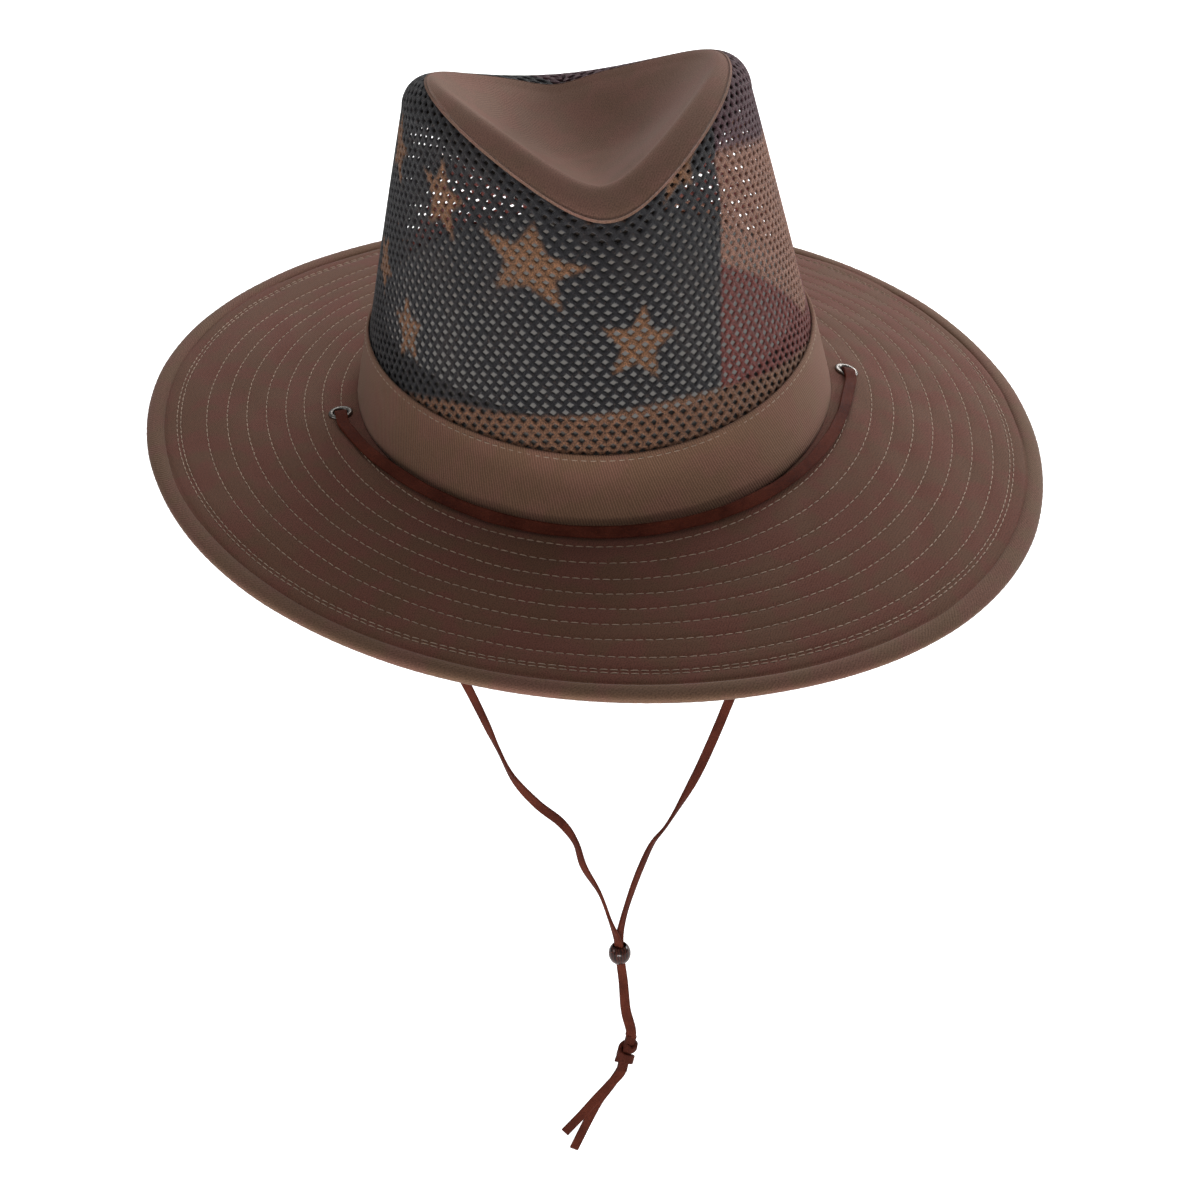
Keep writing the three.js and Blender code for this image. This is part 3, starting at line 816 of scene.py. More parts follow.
def woven_cloth(name, slant, ribs, ribbing, shades, tones, roughness, bump):
    """Matt woven cotton in three shades, with painted shade between its ribs."""
    material, tree, shader = new_material(name)
    cloth = add_node(tree, "ShaderNodeUVMap", uv_map="cloth").outputs[0]
    place = add_node(tree, "ShaderNodeTexCoord").outputs["Object"]
    weave = group_node(tree, twill_weave, {
        "Cloth": cloth, "Slant": slant, "Ribs In A Metre": ribs, "Ribbing": ribbing,
    })
    deep, middle, warm = ((*shade, 1) for shade in shades)
    dye = group_node(tree, uneven_dye, {"Place": place, "Deep": deep, "Middle": middle, "Warm": warm})
    feed(tree, shader, {
        "Base Color": toned(tree, dye["Color"], ranged(tree, weave["Tone"], 0, *tones)),
        "Roughness": ranged(tree, dye["Wear"], 0, 1, *roughness),
    })
    add_bump(tree, shader, weave["Height"], *bump)
    return material, tree, shader


def twill_cloth(name, slant, ribs, shades, relief=0.4, contrast=0.4, ribbing=0.3):
    """Brown cotton twill: matt, with a fine diagonal rib and slightly uneven dye."""
    material, tree, shader = woven_cloth(name, slant, ribs, ribbing, shades, (0.9, 1 - contrast, 1.1),
                                         (0.82, 0.94), (relief, 0.00018))
    feed(tree, shader, {"Specular IOR Level": 0.2, "Sheen Weight": 0.12, "Sheen Roughness": 0.4})
    return material


BRIM_SHADES = [(0.151, 0.071, 0.041), (0.163, 0.074, 0.045), (0.178, 0.068, 0.048)]
brim_twill = twill_cloth("brim_twill", 0.5, 1150, BRIM_SHADES, contrast=0.65, ribbing=0.12)


def shifted(turn, out):
    """A distance out, moved with the off-centre rows of stitching."""
    share = np.interp(out, *zip(*OFF_CENTRE))
    return out + share * (ROWS_FORWARDS * np.cos(turn) + ROWS_RIGHTWARDS * np.sin(turn))


def channel_dip(out):
    """How far the stitching draws the cloth down, at a distance out on the brim."""
    groove = GROOVE_DEPTH * np.exp(-(((out - BRIM_WIDTH + ROLL_WIDTH) / GROOVE_WIDTH) ** 2))
    return groove + sum(
        CHANNEL_DEPTH * np.exp(-(((out - row) / CHANNEL_WIDTH) ** 2)) for row in STITCH_ROWS
    )


def ripple(turn, out, size, seed):
    """Slow uneven waves over the cloth."""
    waves = [(7, 0.05, 1.0), (12, 0.09, 0.7), (19, 0.13, 0.5), (31, 0.2, 0.3)]
    return size * sum(
        share * np.sin(count * turn + rate * out * 2 * math.pi * 0.3 + seed * (i + 1.7))
        for i, (count, rate, share) in enumerate(waves)
    )


def corner_places(around, size, first, second, length):
    """Map places for ring_faces, so that the last section meets the first without a jump."""
    here = np.arange(around)[:, None]
    k = np.arange(size)
    k2 = (k + 1) % size
    rows = np.concatenate([first, first[:1] + length])
    places = [np.stack([rows[here + step, kk], second[(here + step) % around, kk]], -1)
              for step, kk in ((0, k), (1, k), (1, k2), (0, k2))]
    return np.stack(places, 2).reshape(-1, 2)


# The sections of the brim, out from the head opening: closer beside the rows of
# stitches, and the last ones inside the rolled edge.
BRIM_AROUND = 420
SECTION_STEPS = np.arange(-1.2, 73.3, 1.15)
BESIDE_ROW = 0.55
LAST_STEP = 72.6
ROLLED_IN = [73.1, 73.6, 74.2]
# How much of a channel shows below, and how far the brim's two ends are rounded off.
SHOWS_BELOW = 0.8
END_ROUND = 0.5


def brim_waves(turn, out):
    """Slow waves in the brim's cloth, which die out at the crown."""
    return ripple(turn, out, 0.16, 2.0) * np.clip(out / 10, 0, 1)


def on_brim(turn, out, lift):
    """A point over the brim's top, at its turn, distance out and lift."""
    return brim_top(turn, out) + brim_normal(turn, out) * np.asarray(lift)[..., None]


def make_brim():
    """The brim's top and underside as one closed outline, repeated round the head."""
    rows = np.array(STITCH_ROWS)
    steps = np.concatenate([SECTION_STEPS, rows, rows - BESIDE_ROW, rows + BESIDE_ROW])
    steps = sorted(set(np.round(steps, 2)))
    top_outs = np.array([out for out in steps if out <= LAST_STEP] + ROLLED_IN)
    low_outs = top_outs[::2][::-1]
    outs = np.concatenate([top_outs, low_outs])
    heights = np.concatenate([-channel_dip(top_outs), -BRIM_THICKNESS + SHOWS_BELOW * channel_dip(low_outs)])
    heights[[0, len(top_outs) - 1]] -= END_ROUND
    heights[[len(top_outs), -1]] += END_ROUND
    grid_turn, grid_out = np.meshgrid(round_turns(BRIM_AROUND), outs, indexing="ij")
    grid_out = shifted(grid_turn, grid_out)
    points = on_brim(grid_turn, grid_out, heights[None, :] + brim_waves(grid_turn, grid_out))
    faces = ring_faces(BRIM_AROUND, len(outs))
    return make_piece("stitched_brim", points, [faces[:, ::-1]], brim_twill,
                      {"cloth": points[..., :2].reshape(-1, 2) * MM})


DRILL_HALF_LENGTH = 5
DRILL_CORE = 0.01
EYELET_CLEARANCE = 0.25


def bored(piece, holes):
    """The piece with a round hole through it at each place."""
    for place, way, radius in holes:
        outline = [(DRILL_CORE, -1), (radius, -1), (radius, 1), (DRILL_CORE, 1)]
        drill = make_turned("drill", [(reach, end * DRILL_HALF_LENGTH) for reach, end in outline], 32, None)
        stand(drill, place, way)
        cut = piece.modifiers.new("hole", "BOOLEAN")
        cut.operation = "DIFFERENCE"
        cut.solver = "EXACT"
        cut.object = drill
        bpy.context.view_layer.update()
        mesh = bpy.data.meshes.new_from_object(piece.evaluated_get(bpy.context.evaluated_depsgraph_get()))
        piece.modifiers.clear()
        piece.data = mesh
        bpy.data.objects.remove(drill)
    return piece


stitched_brim = bored(make_brim(), [
    (*eyelet_place(side)[1:], EYELET_BARREL + EYELET_CLEARANCE) for side in (-1, 1)
])
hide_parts("brim")


def thread_material():
    """Tan cotton thread: its plies, and patches where it has faded."""
    material, tree, shader = new_material("tan_thread")
    place = add_node(tree, "ShaderNodeTexCoord").outputs["Object"]
    plies = noise(tree, place, 2500, 2)
    fade = noise(tree, place, 60, 2)
    colour = blend(tree, plies, (0.34, 0.23, 0.165, 1), (0.57, 0.415, 0.31, 1))
    colour = blend(tree, ranged(tree, fade, 0.4, 0.65, 0, 0.4), colour, (0.26, 0.17, 0.125, 1))
    feed(tree, shader, {"Base Color": colour, "Roughness": ranged(tree, plies, 0.3, 0.7, 0.6, 0.8)})
    return material


thread = thread_material()
# A stitch from end to end: the place along it, how fat it is there, and how far it sinks.
STITCH_SHAPE = [(-0.5, 0.25, -1.3), (-0.42, 0.75, -0.45), (-0.2, 1, 0), (0.2, 1, 0), (0.42, 0.75, -0.45),
                (0.5, 0.25, -1.3)]
STITCH_SIDES = 5
STITCH_SLANT = 0.06


def make_stitches(name, lines, pitch, length, radius):
    """Stitches in closed lines: each line is its points and the way up at each."""
    made = []
    for points, ups in lines:
        loop = np.concatenate([points, points[:1]])
        loop_ups = np.concatenate([ups, ups[:1]])
        run = run_along(loop)
        count = int(run[-1] / pitch)
        starts = (np.arange(count) + 0.5) * run[-1] / count
        place = read_between(starts, run, loop)
        up = unit(read_between(starts, run, loop_ups))
        way = unit(read_between(starts + 0.5, run, loop) - place)
        side = np.cross(up, way)
        way = unit(way + side * STITCH_SLANT * np.sin(np.arange(count) * 2.3)[:, None])
        rings = []
        for spot, fat, sink in STITCH_SHAPE:
            middle = place + way * (spot * length) + up * (sink * radius)
            for angle in round_turns(STITCH_SIDES):
                rings.append(middle + (side * math.cos(angle) + up * math.sin(angle)) * (radius * fat))
        made.append(np.stack(rings, 1))
    made = np.concatenate(made)
    base = np.arange(len(made))[:, None, None] * made.shape[1]
    sides, ends = sweep_faces(len(STITCH_SHAPE), STITCH_SIDES)
    faces = [(base + sides[None]).reshape(-1, 4), (base + ends[None]).reshape(-1, STITCH_SIDES)]
    return make_piece(name, made, faces, thread)


# How far the threads lie over the channels' bottoms, on top and below.
THREAD_LIFT = 0.08
THREAD_LIFT_BELOW = 0.05
ROW_POINTS = 720


def brim_row(out, lift, way):
    """A line for a row of stitches on the brim, whose way up is 1 on top and -1 below."""
    turns = round_turns(ROW_POINTS)
    outs = shifted(turns, np.full(ROW_POINTS, float(out)))
    return on_brim(turns, outs, lift + brim_waves(turns, outs)), brim_normal(turns, outs) * way


top_lift = THREAD_LIFT - CHANNEL_DEPTH
low_lift = -BRIM_THICKNESS + SHOWS_BELOW * CHANNEL_DEPTH - THREAD_LIFT_BELOW
top_stitches, low_stitches = (
    make_stitches(name, [brim_row(out, lift, way) for out in STITCH_ROWS], STITCH_PITCH, STITCH_LENGTH,
                  THREAD_RADIUS)
    for name, lift, way in (("brim_stitches_top", top_lift, 1), ("brim_stitches_under", low_lift, -1))
)
for piece in (stitched_brim, top_stitches, low_stitches):
    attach(piece, "root")

# The rolled edge
#
# The brim's rim is twill rolled round a wire, about 7 mm wide and a little thicker than
# the brim, with a groove where it is turned under. It puckers slightly between stitches.

ROLL_HEIGHT = 4.2
ROLL_FULLNESS = 0.85
ROLL_AROUND = 520
ROLL_SIDES = 26
PUCKERS = 290
# Sizes that lay the flat cloth's map round the head and over the roll.
ROLL_MAP_RADIUS = 136
ROLL_MAP_ROUND = 3


def make_roll():
    """An oval tube round the rim, flattened a little, and puckered between its stitches."""
    turns = round_turns(ROLL_AROUND)
    angles = round_turns(ROLL_SIDES)
    grid_turn, grid_angle = np.meshgrid(turns, angles, indexing="ij")
    pucker = 0.05 * np.sin(grid_turn * PUCKERS) + ripple(grid_turn, 0 * grid_turn, 0.07, 5.0)
    full = np.abs(np.sin(grid_angle)) ** ROLL_FULLNESS * np.sign(np.sin(grid_angle))
    height = -BRIM_THICKNESS / 2 + (ROLL_HEIGHT / 2 + pucker * 0.8) * full
    points = on_brim(grid_turn, BRIM_WIDTH - ROLL_WIDTH / 2 * (1 - np.cos(grid_angle)), height)
    points += outward(grid_turn) * (pucker * np.cos(grid_angle))[..., None]
    first = np.broadcast_to(turns[:, None] * ROLL_MAP_RADIUS * MM, grid_turn.shape)
    second = np.broadcast_to(angles[None, :] * ROLL_MAP_ROUND * MM, grid_turn.shape)
    places = corner_places(ROLL_AROUND, ROLL_SIDES, first, second, 2 * math.pi * ROLL_MAP_RADIUS * MM)
    return make_piece("rolled_edge", points, [ring_faces(ROLL_AROUND, ROLL_SIDES)], edge_twill,
                      {"cloth": places})


# The roll is the brim's twill. Its shades are paler than the brim's: painted light on the roll.
EDGE_SHADES_WITH_PAINTED_LIGHT = [(0.178, 0.1, 0.061), (0.195, 0.107, 0.068), (0.205, 0.1, 0.072)]
edge_twill = twill_cloth("edge_twill", 0.8, 1150, EDGE_SHADES_WITH_PAINTED_LIGHT, contrast=0.6, ribbing=0.2)
rolled_edge = make_roll()
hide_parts("brim_edge")
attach(rolled_edge, "root")

# The hatband
#
# A band of the same twill, 26 mm high, sewn round the foot of the crown. Its top edge is
# folded under and held by one row of tan stitches.

BAND_HEIGHT = 26
BAND_THICKNESS = 1.2
GAP = 0.3
# The crest round the top of the crown: its reach to the front and the back, its width,
# pinched at the front, and its height, which drops to both ends.
CREST_FRONT = 59.6
CREST_BACK = 62.3
CREST_HALF_WIDTH = 60
CREST_CENTRE = 3.4
PINCH = 0.52
PINCH_POWER = 1.8
DOME_HEIGHT = 154.2
FRONT_DROP = 45.6
FRONT_POWER = 1.6
BACK_DROP = 52.5
BACK_POWER = 2.13
# The wall below the crest, and the hollow inside it.
SHOULDER = 12.1
SHOULDER_START = 0.8
DRAW_IN = 0.086
HOLLOW_CENTRE = 16
HOLLOW_HEIGHT = 90
HOLLOW_POWER = 1.3
SHARE_STEP = 0.004


def frontness(turn):
    return (1 + np.cos(turn)) / 2


def crest_point(turn):
    front = frontness(turn)
    reach = np.where(np.cos(turn) > 0, CREST_FRONT, CREST_BACK)
    height = DOME_HEIGHT - FRONT_DROP * front**FRONT_POWER - BACK_DROP * (1 - front) ** BACK_POWER
    return np.stack([
        CREST_HALF_WIDTH * np.sin(turn) * (1 - PINCH * front**PINCH_POWER),
        CREST_CENTRE - reach * np.cos(turn),
        height,
    ], -1)


def crown_point(turn, share):
    """The crown's outside: 0 is the foot, 1 the crest and 2 the middle of the hollow."""
    turn, share = np.broadcast_arrays(np.asarray(turn, float), np.asarray(share, float))
    crest = crest_point(turn)
    away = crest - np.array([0, CREST_CENTRE, 0])
    away[..., 2] = 0
    away = unit(away)
    foot = opening_point(turn) - outward(turn) * (BAND_THICKNESS + GAP)
    rise = share / SHOULDER_START
    lean = np.maximum(rise, 0) * (1 - DRAW_IN * (1 - rise))
    wall = foot + (crest + away * SHOULDER - foot) * lean[..., None]
    wall[..., 2] = opening_height(turn) * (1 - rise) + rise * (crest[..., 2] - SHOULDER)
    bend = np.clip((share - SHOULDER_START) / (1 - SHOULDER_START), 0, 1) * QUARTER
    round_part = crest + away * (SHOULDER * np.cos(bend))[..., None]
    round_part[..., 2] = crest[..., 2] - SHOULDER * (1 - np.sin(bend))
    inwards = np.clip(share - 1, 0, 1)
    sink = np.sin(inwards * QUARTER) ** HOLLOW_POWER
    hollow = crest + (np.array([0, HOLLOW_CENTRE, 0]) - crest) * inwards[..., None]
    hollow[..., 2] = crest[..., 2] + (HOLLOW_HEIGHT - crest[..., 2]) * sink
    above = np.where((share <= 1)[..., None], round_part, hollow)
    return np.where((share <= SHOULDER_START)[..., None], wall, above)


def crown_normal(turn, share):
    turn, share = np.broadcast_arrays(np.asarray(turn, float), np.asarray(share, float))
    return normal_of(crown_point, turn, share, SHARE_STEP)


def on_crown(turn, share, lift):
    """A point over the crown's outside, at its turn, its share up and its lift."""
    return crown_point(turn, share) + crown_normal(turn, share) * np.asarray(lift)[..., None]


def share_at_height(turn, height):
    return SHOULDER_START * height / (crest_point(turn)[..., 2] - SHOULDER)


# A strip's sections round the head, the height of its folded top, how far its edges are
# rounded, and the radius that lays its cloth's map.
STRIP_AROUND = 480
STRIP_FOLD = 0.35
STRIP_ROUND = 0.25
STRIP_MAP_RADIUS = 92


def make_strip(name, low, high, outer, inner, outside_rows, inside_rows, material, uneven):
    """A band of cloth round the crown's wall between two heights, with rounded edges."""
    turns = round_turns(STRIP_AROUND)
    middle = (outer + inner) / 2
    heights = np.concatenate([
        [low], np.linspace(low + 0.2, high - STRIP_FOLD, outside_rows), [high - 0.1, high, high - 0.1],
        np.linspace(high - STRIP_FOLD, low + 0.2, inside_rows), [low],
    ])
    lifts = np.concatenate([
        [middle], np.full(outside_rows, outer), [outer - STRIP_ROUND, middle, inner + STRIP_ROUND],
        np.full(inside_rows, inner), [middle],
    ])
    grid_turn, grid_height = np.meshgrid(turns, heights, indexing="ij")
    wave = ripple(grid_turn, grid_height * 0.5, uneven, 9.0)
    lift = lifts[None, :] + np.where(lifts[None, :] >= middle, wave, -wave * 0.3)
    points = on_crown(grid_turn, share_at_height(grid_turn, grid_height), lift)
    reach = 2 * math.pi * STRIP_MAP_RADIUS * MM
    first = np.broadcast_to((turns / (2 * math.pi) * reach)[:, None], grid_turn.shape)
    places = corner_places(STRIP_AROUND, len(heights), first, grid_height * MM, reach)
    return make_piece(name, points, [ring_faces(STRIP_AROUND, len(heights))], material, {"cloth": places})


# The band is the brim's twill. Its shades are paler than the brim's: painted light on the band's face.
BAND_SHADES_WITH_PAINTED_LIGHT = [(0.25, 0.135, 0.083), (0.275, 0.148, 0.093), (0.285, 0.142, 0.098)]
band_twill = twill_cloth("band_twill", -0.36, 960, BAND_SHADES_WITH_PAINTED_LIGHT, 0.8, 0.55, 0.65)
twill_band = make_strip("twill_band", 0, BAND_HEIGHT, GAP + BAND_THICKNESS, GAP, 26, 8, band_twill, 0.1)
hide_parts("hatband")

# The row of stitches: how far below the band's top it runs and how far over the cloth,
# then the stitches' pitch and length, and their thread's radius.
BAND_ROW_DROP = 1.9
BAND_ROW_LIFT = 0.03
BAND_PITCH = 3.4
BAND_STITCH = 2.4
BAND_THREAD = 0.21


def wall_row(height, lift):
    turns = round_turns(ROW_POINTS)
    share = share_at_height(turns, height)
    return on_crown(turns, share, lift), crown_normal(turns, share)


band_row = wall_row(BAND_HEIGHT - BAND_ROW_DROP, GAP + BAND_THICKNESS + BAND_ROW_LIFT)
band_stitches = make_stitches("band_stitches", [band_row], BAND_PITCH, BAND_STITCH, BAND_THREAD)
for piece in (twill_band, band_stitches):
    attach(piece, "root")

# The sweatband
#
# A grey-brown woven cotton band, 39 mm high, sewn inside the foot of the crown, where it
# touches the head. Its edges are folded and slightly rounded.

SWEAT_HEIGHT = 37
SWEAT_THICKNESS = 1.4
NET_THICKNESS = 1
SWEAT_SHADES = [(0.12, 0.112, 0.104), (0.145, 0.136, 0.126), (0.15, 0.134, 0.12)]

sweat, sweat_tree, sweat_shader = woven_cloth("sweatband_cloth", 0.0, 1500, 0.6, SWEAT_SHADES, (1, 0.7, 1.1),
                                              (0.75, 0.95), (0.5, 0.00015))
feed(sweat_tree, sweat_shader, {"Sheen Weight": 0.2})
sweat_outer = -NET_THICKNESS - GAP
inner_band = make_strip("inner_band", -BRIM_THICKNESS, SWEAT_HEIGHT, sweat_outer,
                        sweat_outer - SWEAT_THICKNESS, 8, 26, sweat, 0.08)
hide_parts("sweatband")
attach(inner_band, "root")

# The netting
#
# The crown's wall is coarse knitted netting, 1 mm thick, with staggered diamond holes,
# printed with faded stars on a navy field and with wide tan and maroon stripes.

HOLE_PITCH = 4.93
ROW_RISE = 2.53
NET_START = 21
NET_COLUMNS = 60
NET_ROWS = 60
HOLE_HALF_WIDTH = 1.42
HOLE_HALF_HEIGHT = 0.93
HOLE_SHOULDER = (0.66, 0.46)
# The holes are stretched less, and smaller, from this rise upwards.
HOLES_CLOSE = [(72, 1), (96, 0.8)]
# The netting is cut from flat cloth, so its rows drop and its columns lean to the sides.
ROW_SLOPE = 0.31
ROW_BEND = 42
ROW_CENTRE = -3
COLUMN_LEAN = 0.14
COLUMN_BEND = 30
UPRIGHT_RISE = 60
# The printed stars: distance round from the front, rise, half width, half height, and
# tilt in degrees.
STARS = [
    (-31, 92, 23, 15, 6), (8, 66.5, 14.5, 14, 12), (-73.5, 100, 12.5, 14, 4), (-97, 47.5, 10.5, 12, -8),
    (-113, 102, 12, 12, 8), (-125, 59, 11, 10, 20), (31, 121, 13, 11, 0), (-1, 117, 12, 7.5, 0),
    (-148, 84, 12, 12, 0), (-166, 50, 12, 12, 10), (-152, 112, 11, 10, 30),
]
# The right edge of the navy field: rise, and distance round.
FIELD_EDGE = [(42, 40.7), (60, 43.7), (79, 47.7), (100, 53.2), (118, 53.2)]
FIELD_END = -196
# Edges between the stripes: distance round, and rise.
LOW_STRIPE_TOP = [
    (-150, 10), (-102, 25), (-70, 34), (-43, 38), (-23, 41), (2, 44), (22, 44), (41, 41), (76, 33),
    (118, 24), (160, 14),
]
MAROON_TOP = [(48, 81), (70, 67), (90, 52), (112, 34)]
PURPLE_FOOT = [(57, 115), (97, 100), (150, 92), (220, 98)]
BACK_STRIPE = [(126, 40), (170, 52), (230, 60)]
BACK_STRIPE_HALF = 13
BACK_START = 126
NAVY = (0.011, 0.01, 0.013)
TAN = (0.31, 0.15, 0.1)
LOW_TAN = (0.2, 0.092, 0.048)
STAR_TAN = (0.23, 0.105, 0.048)
MAROON = (0.165, 0.03, 0.022)
PURPLE = (0.085, 0.032, 0.042)
# The seam of netting and tip, as a share up the crown, from the front to the back. It
# dips into the hollow in the middle of the back.
SEAM_FRONT = 0.872
SEAM_BACK = 1.063
SEAM_POWER = 0.93
DIP_TURN = math.radians(184)
DIP_HALF_WIDTH = 0.24
DIP_DEPTH = 0.085
BACK_LIFT = 0.03


def seam_share(turn):
    front = frontness(turn)
    off_dip = np.arctan2(np.sin(turn - DIP_TURN), np.cos(turn - DIP_TURN))
    dip = DIP_DEPTH * np.exp(-((off_dip / DIP_HALF_WIDTH) ** 2)) - BACK_LIFT * (1 - front) ** 4
    return SEAM_BACK + (SEAM_FRONT - SEAM_BACK) * front**SEAM_POWER + dip


STAR_DENT = 0.46


def star_depth(across, rise, tilt):
    """Above 0 inside a five-pointed star whose points reach 1, with its tilt clockwise."""
    fifth = 2 * math.pi / 5
    angle = np.arctan2(across, rise) - math.radians(tilt)
    fold = np.abs((angle + fifth / 2) % fifth - fifth / 2)
    reach = np.hypot(across, rise)
    edge = (STAR_DENT * math.cos(fifth / 2) - 1, STAR_DENT * math.sin(fifth / 2))
    return (edge[0] * reach * np.sin(fold) - edge[1] * (reach * np.cos(fold) - 1)) / math.hypot(*edge)


def soft_step(value, width=1.0):
    t = np.clip(value / width + 0.5, 0, 1)
    return t * t * (3 - 2 * t)


def mixed(share, first, second):
    return first + (np.asarray(second) - first) * share[..., None]


def edge_line(place, table):
    return np.interp(place, *zip(*table))


def print_colour(distance, rise):
    """The netting's printed colour at a distance round from the front and a rise."""
    field = np.broadcast_to(np.array(NAVY), distance.shape + (3,))
    for place, high, half_width, half_height, tilt in STARS:
        inside = star_depth((distance - place) / half_width, (rise - high) / half_height, tilt)
        field = mixed(soft_step(inside, 0.12), field, STAR_TAN)
    stripes = mixed(soft_step(rise - edge_line(distance, MAROON_TOP), 2.5), np.array(MAROON), TAN)
    stripes = mixed(soft_step(rise - edge_line(np.abs(distance), PURPLE_FOOT), 5), stripes, PURPLE)
    off_line = np.abs(rise - edge_line(np.abs(distance), BACK_STRIPE))
    at_back = soft_step(np.abs(distance) - BACK_START, 3)
    stripes = mixed(at_back * soft_step(BACK_STRIPE_HALF - off_line, 2.5), stripes, MAROON)
    in_field = soft_step(edge_line(rise, FIELD_EDGE) - distance, 1.5) * soft_step(distance - FIELD_END, 1.5)
    colour = mixed(in_field, stripes, field)
    return mixed(soft_step(edge_line(distance, LOW_STRIPE_TOP) - rise, 2), colour, LOW_TAN)


# How finely the crown's wall is measured, and how far up.
WALL_TURNS = 721
WALL_SHARES = 233
WALL_TOP_SHARE = 1.16
WALL_TOP_RISE = 150
# The netting ends this far short of the tip's seam, and of the back seam.
SHORT_OF_TIP = 0.004
SHORT_OF_BACK = 0.0005


def wall_tables():
    """The crown's wall in whole millimetres of rise: at each turn and rise, the share up
    the crown, and the distance round the wall from the front."""
    turns = np.linspace(-math.pi, math.pi, WALL_TURNS)
    rises = np.arange(0, WALL_TOP_RISE)
    shares = np.linspace(0, WALL_TOP_SHARE, WALL_SHARES)
    steps = np.linalg.norm(np.diff(crown_point(turns[:, None], shares[None, :]), axis=1), axis=2)
    climbs = np.concatenate([np.zeros((len(turns), 1)), np.cumsum(steps, axis=1)], 1)
    table = np.array([np.interp(rises, climb, shares) for climb in climbs])
    steps = np.linalg.norm(np.diff(crown_point(turns[:, None], table), axis=0), axis=2)
    rounds = np.concatenate([np.zeros((1, len(rises))), np.cumsum(steps, axis=0)])
    return turns, table, rounds - rounds[len(turns) // 2]


wall_turns, wall_shares, wall_rounds = wall_tables()


def on_wall(distance, rise):
    """The turn and the share at a distance round the wall from the front and a rise, and
    whether the place is past the back seam or past the seam with the tip."""
    row = np.clip(np.floor(rise).astype(int), 0, wall_shares.shape[1] - 2)
    part = rise - row
    turn = np.empty(distance.shape)
    for index in np.unique(row):
        here = row == index
        low, high = (np.interp(distance[here], wall_rounds[:, index + k], wall_turns) for k in (0, 1))
        turn[here] = low + (high - low) * part[here]
    spot = (turn + math.pi) / (wall_turns[1] - wall_turns[0])
    column = np.clip(np.floor(spot).astype(int), 0, len(wall_turns) - 2)
    side = spot - column
    near = wall_shares[column, row] * (1 - part) + wall_shares[column, row + 1] * part
    far = wall_shares[column + 1, row] * (1 - part) + wall_shares[column + 1, row + 1] * part
    share = near * (1 - side) + far * side
    limit = seam_share(turn) - SHORT_OF_TIP
    past = (share > limit) | (np.abs(turn) > math.pi - SHORT_OF_BACK)
    return turn, np.minimum(share, limit), past


def on_cloth(along, up):
    """The distance round the wall and the rise of a place on the flat netting."""
    distance = along + COLUMN_LEAN * np.tanh(along / COLUMN_BEND) * (up - UPRIGHT_RISE)
    bend = np.abs(distance - ROW_CENTRE) / ROW_BEND
    drop = ROW_SLOPE * ROW_BEND * (bend + np.log1p(np.exp(-2 * bend)) - math.log(2))
    return distance, up - drop


def net_material():
    """Dull knitted polyester: the print, broken up by the yarns, with a few bright filaments."""
    material, tree, shader = new_material("printed_netting")
    ink = add_node(tree, "ShaderNodeAttribute", attribute_name="print_colour").outputs["Color"]
    place = add_node(tree, "ShaderNodeTexCoord").outputs["Object"]
    specks = noise(tree, place, 1700, 4, 0.8)
    yarns = noise(tree, place, 620, 2, 0.6)
    fades = noise(tree, place, 34, 3)
    colour = toned(tree, ink, ranged(tree, specks, 0.35, 0.65, 0.1, 1.9))
    colour = blend(tree, ranged(tree, fades, 0.5, 0.75, 0, 0.15), colour, (0.1, 0.07, 0.06, 1))
    colour = blend(tree, ranged(tree, yarns, 0.58, 0.74, 0, 0.22), colour, (0.2, 0.14, 0.11, 1))
    feed(tree, shader, {
        "Base Color": colour, "Roughness": ranged(tree, yarns, 0.3, 0.7, 0.6, 0.85),
        "Specular IOR Level": 0.35, "Sheen Weight": 0.15,
    })
    add_bump(tree, shader, specks, 0.9, 0.0006)
    return material


netting = net_material()
# A cell's outline in pitches and rises, and the rings of yarn in to its hole: the share
# of the way, and the lift.
CELL = [(0.5, 0), (0.25, 0.5), (0, 1), (-0.25, 0.5), (-0.5, 0), (-0.25, -0.5), (0, -1), (0.25, -0.5)]
YARN_RINGS = [
    (0, 0), (0.5, -0.1), (1, -NET_THICKNESS / 2), (0.5, 0.1 - NET_THICKNESS), (0, -NET_THICKNESS),
]
UNEVEN_SIZE = 0.07
UNEVEN_PLACE = 0.1


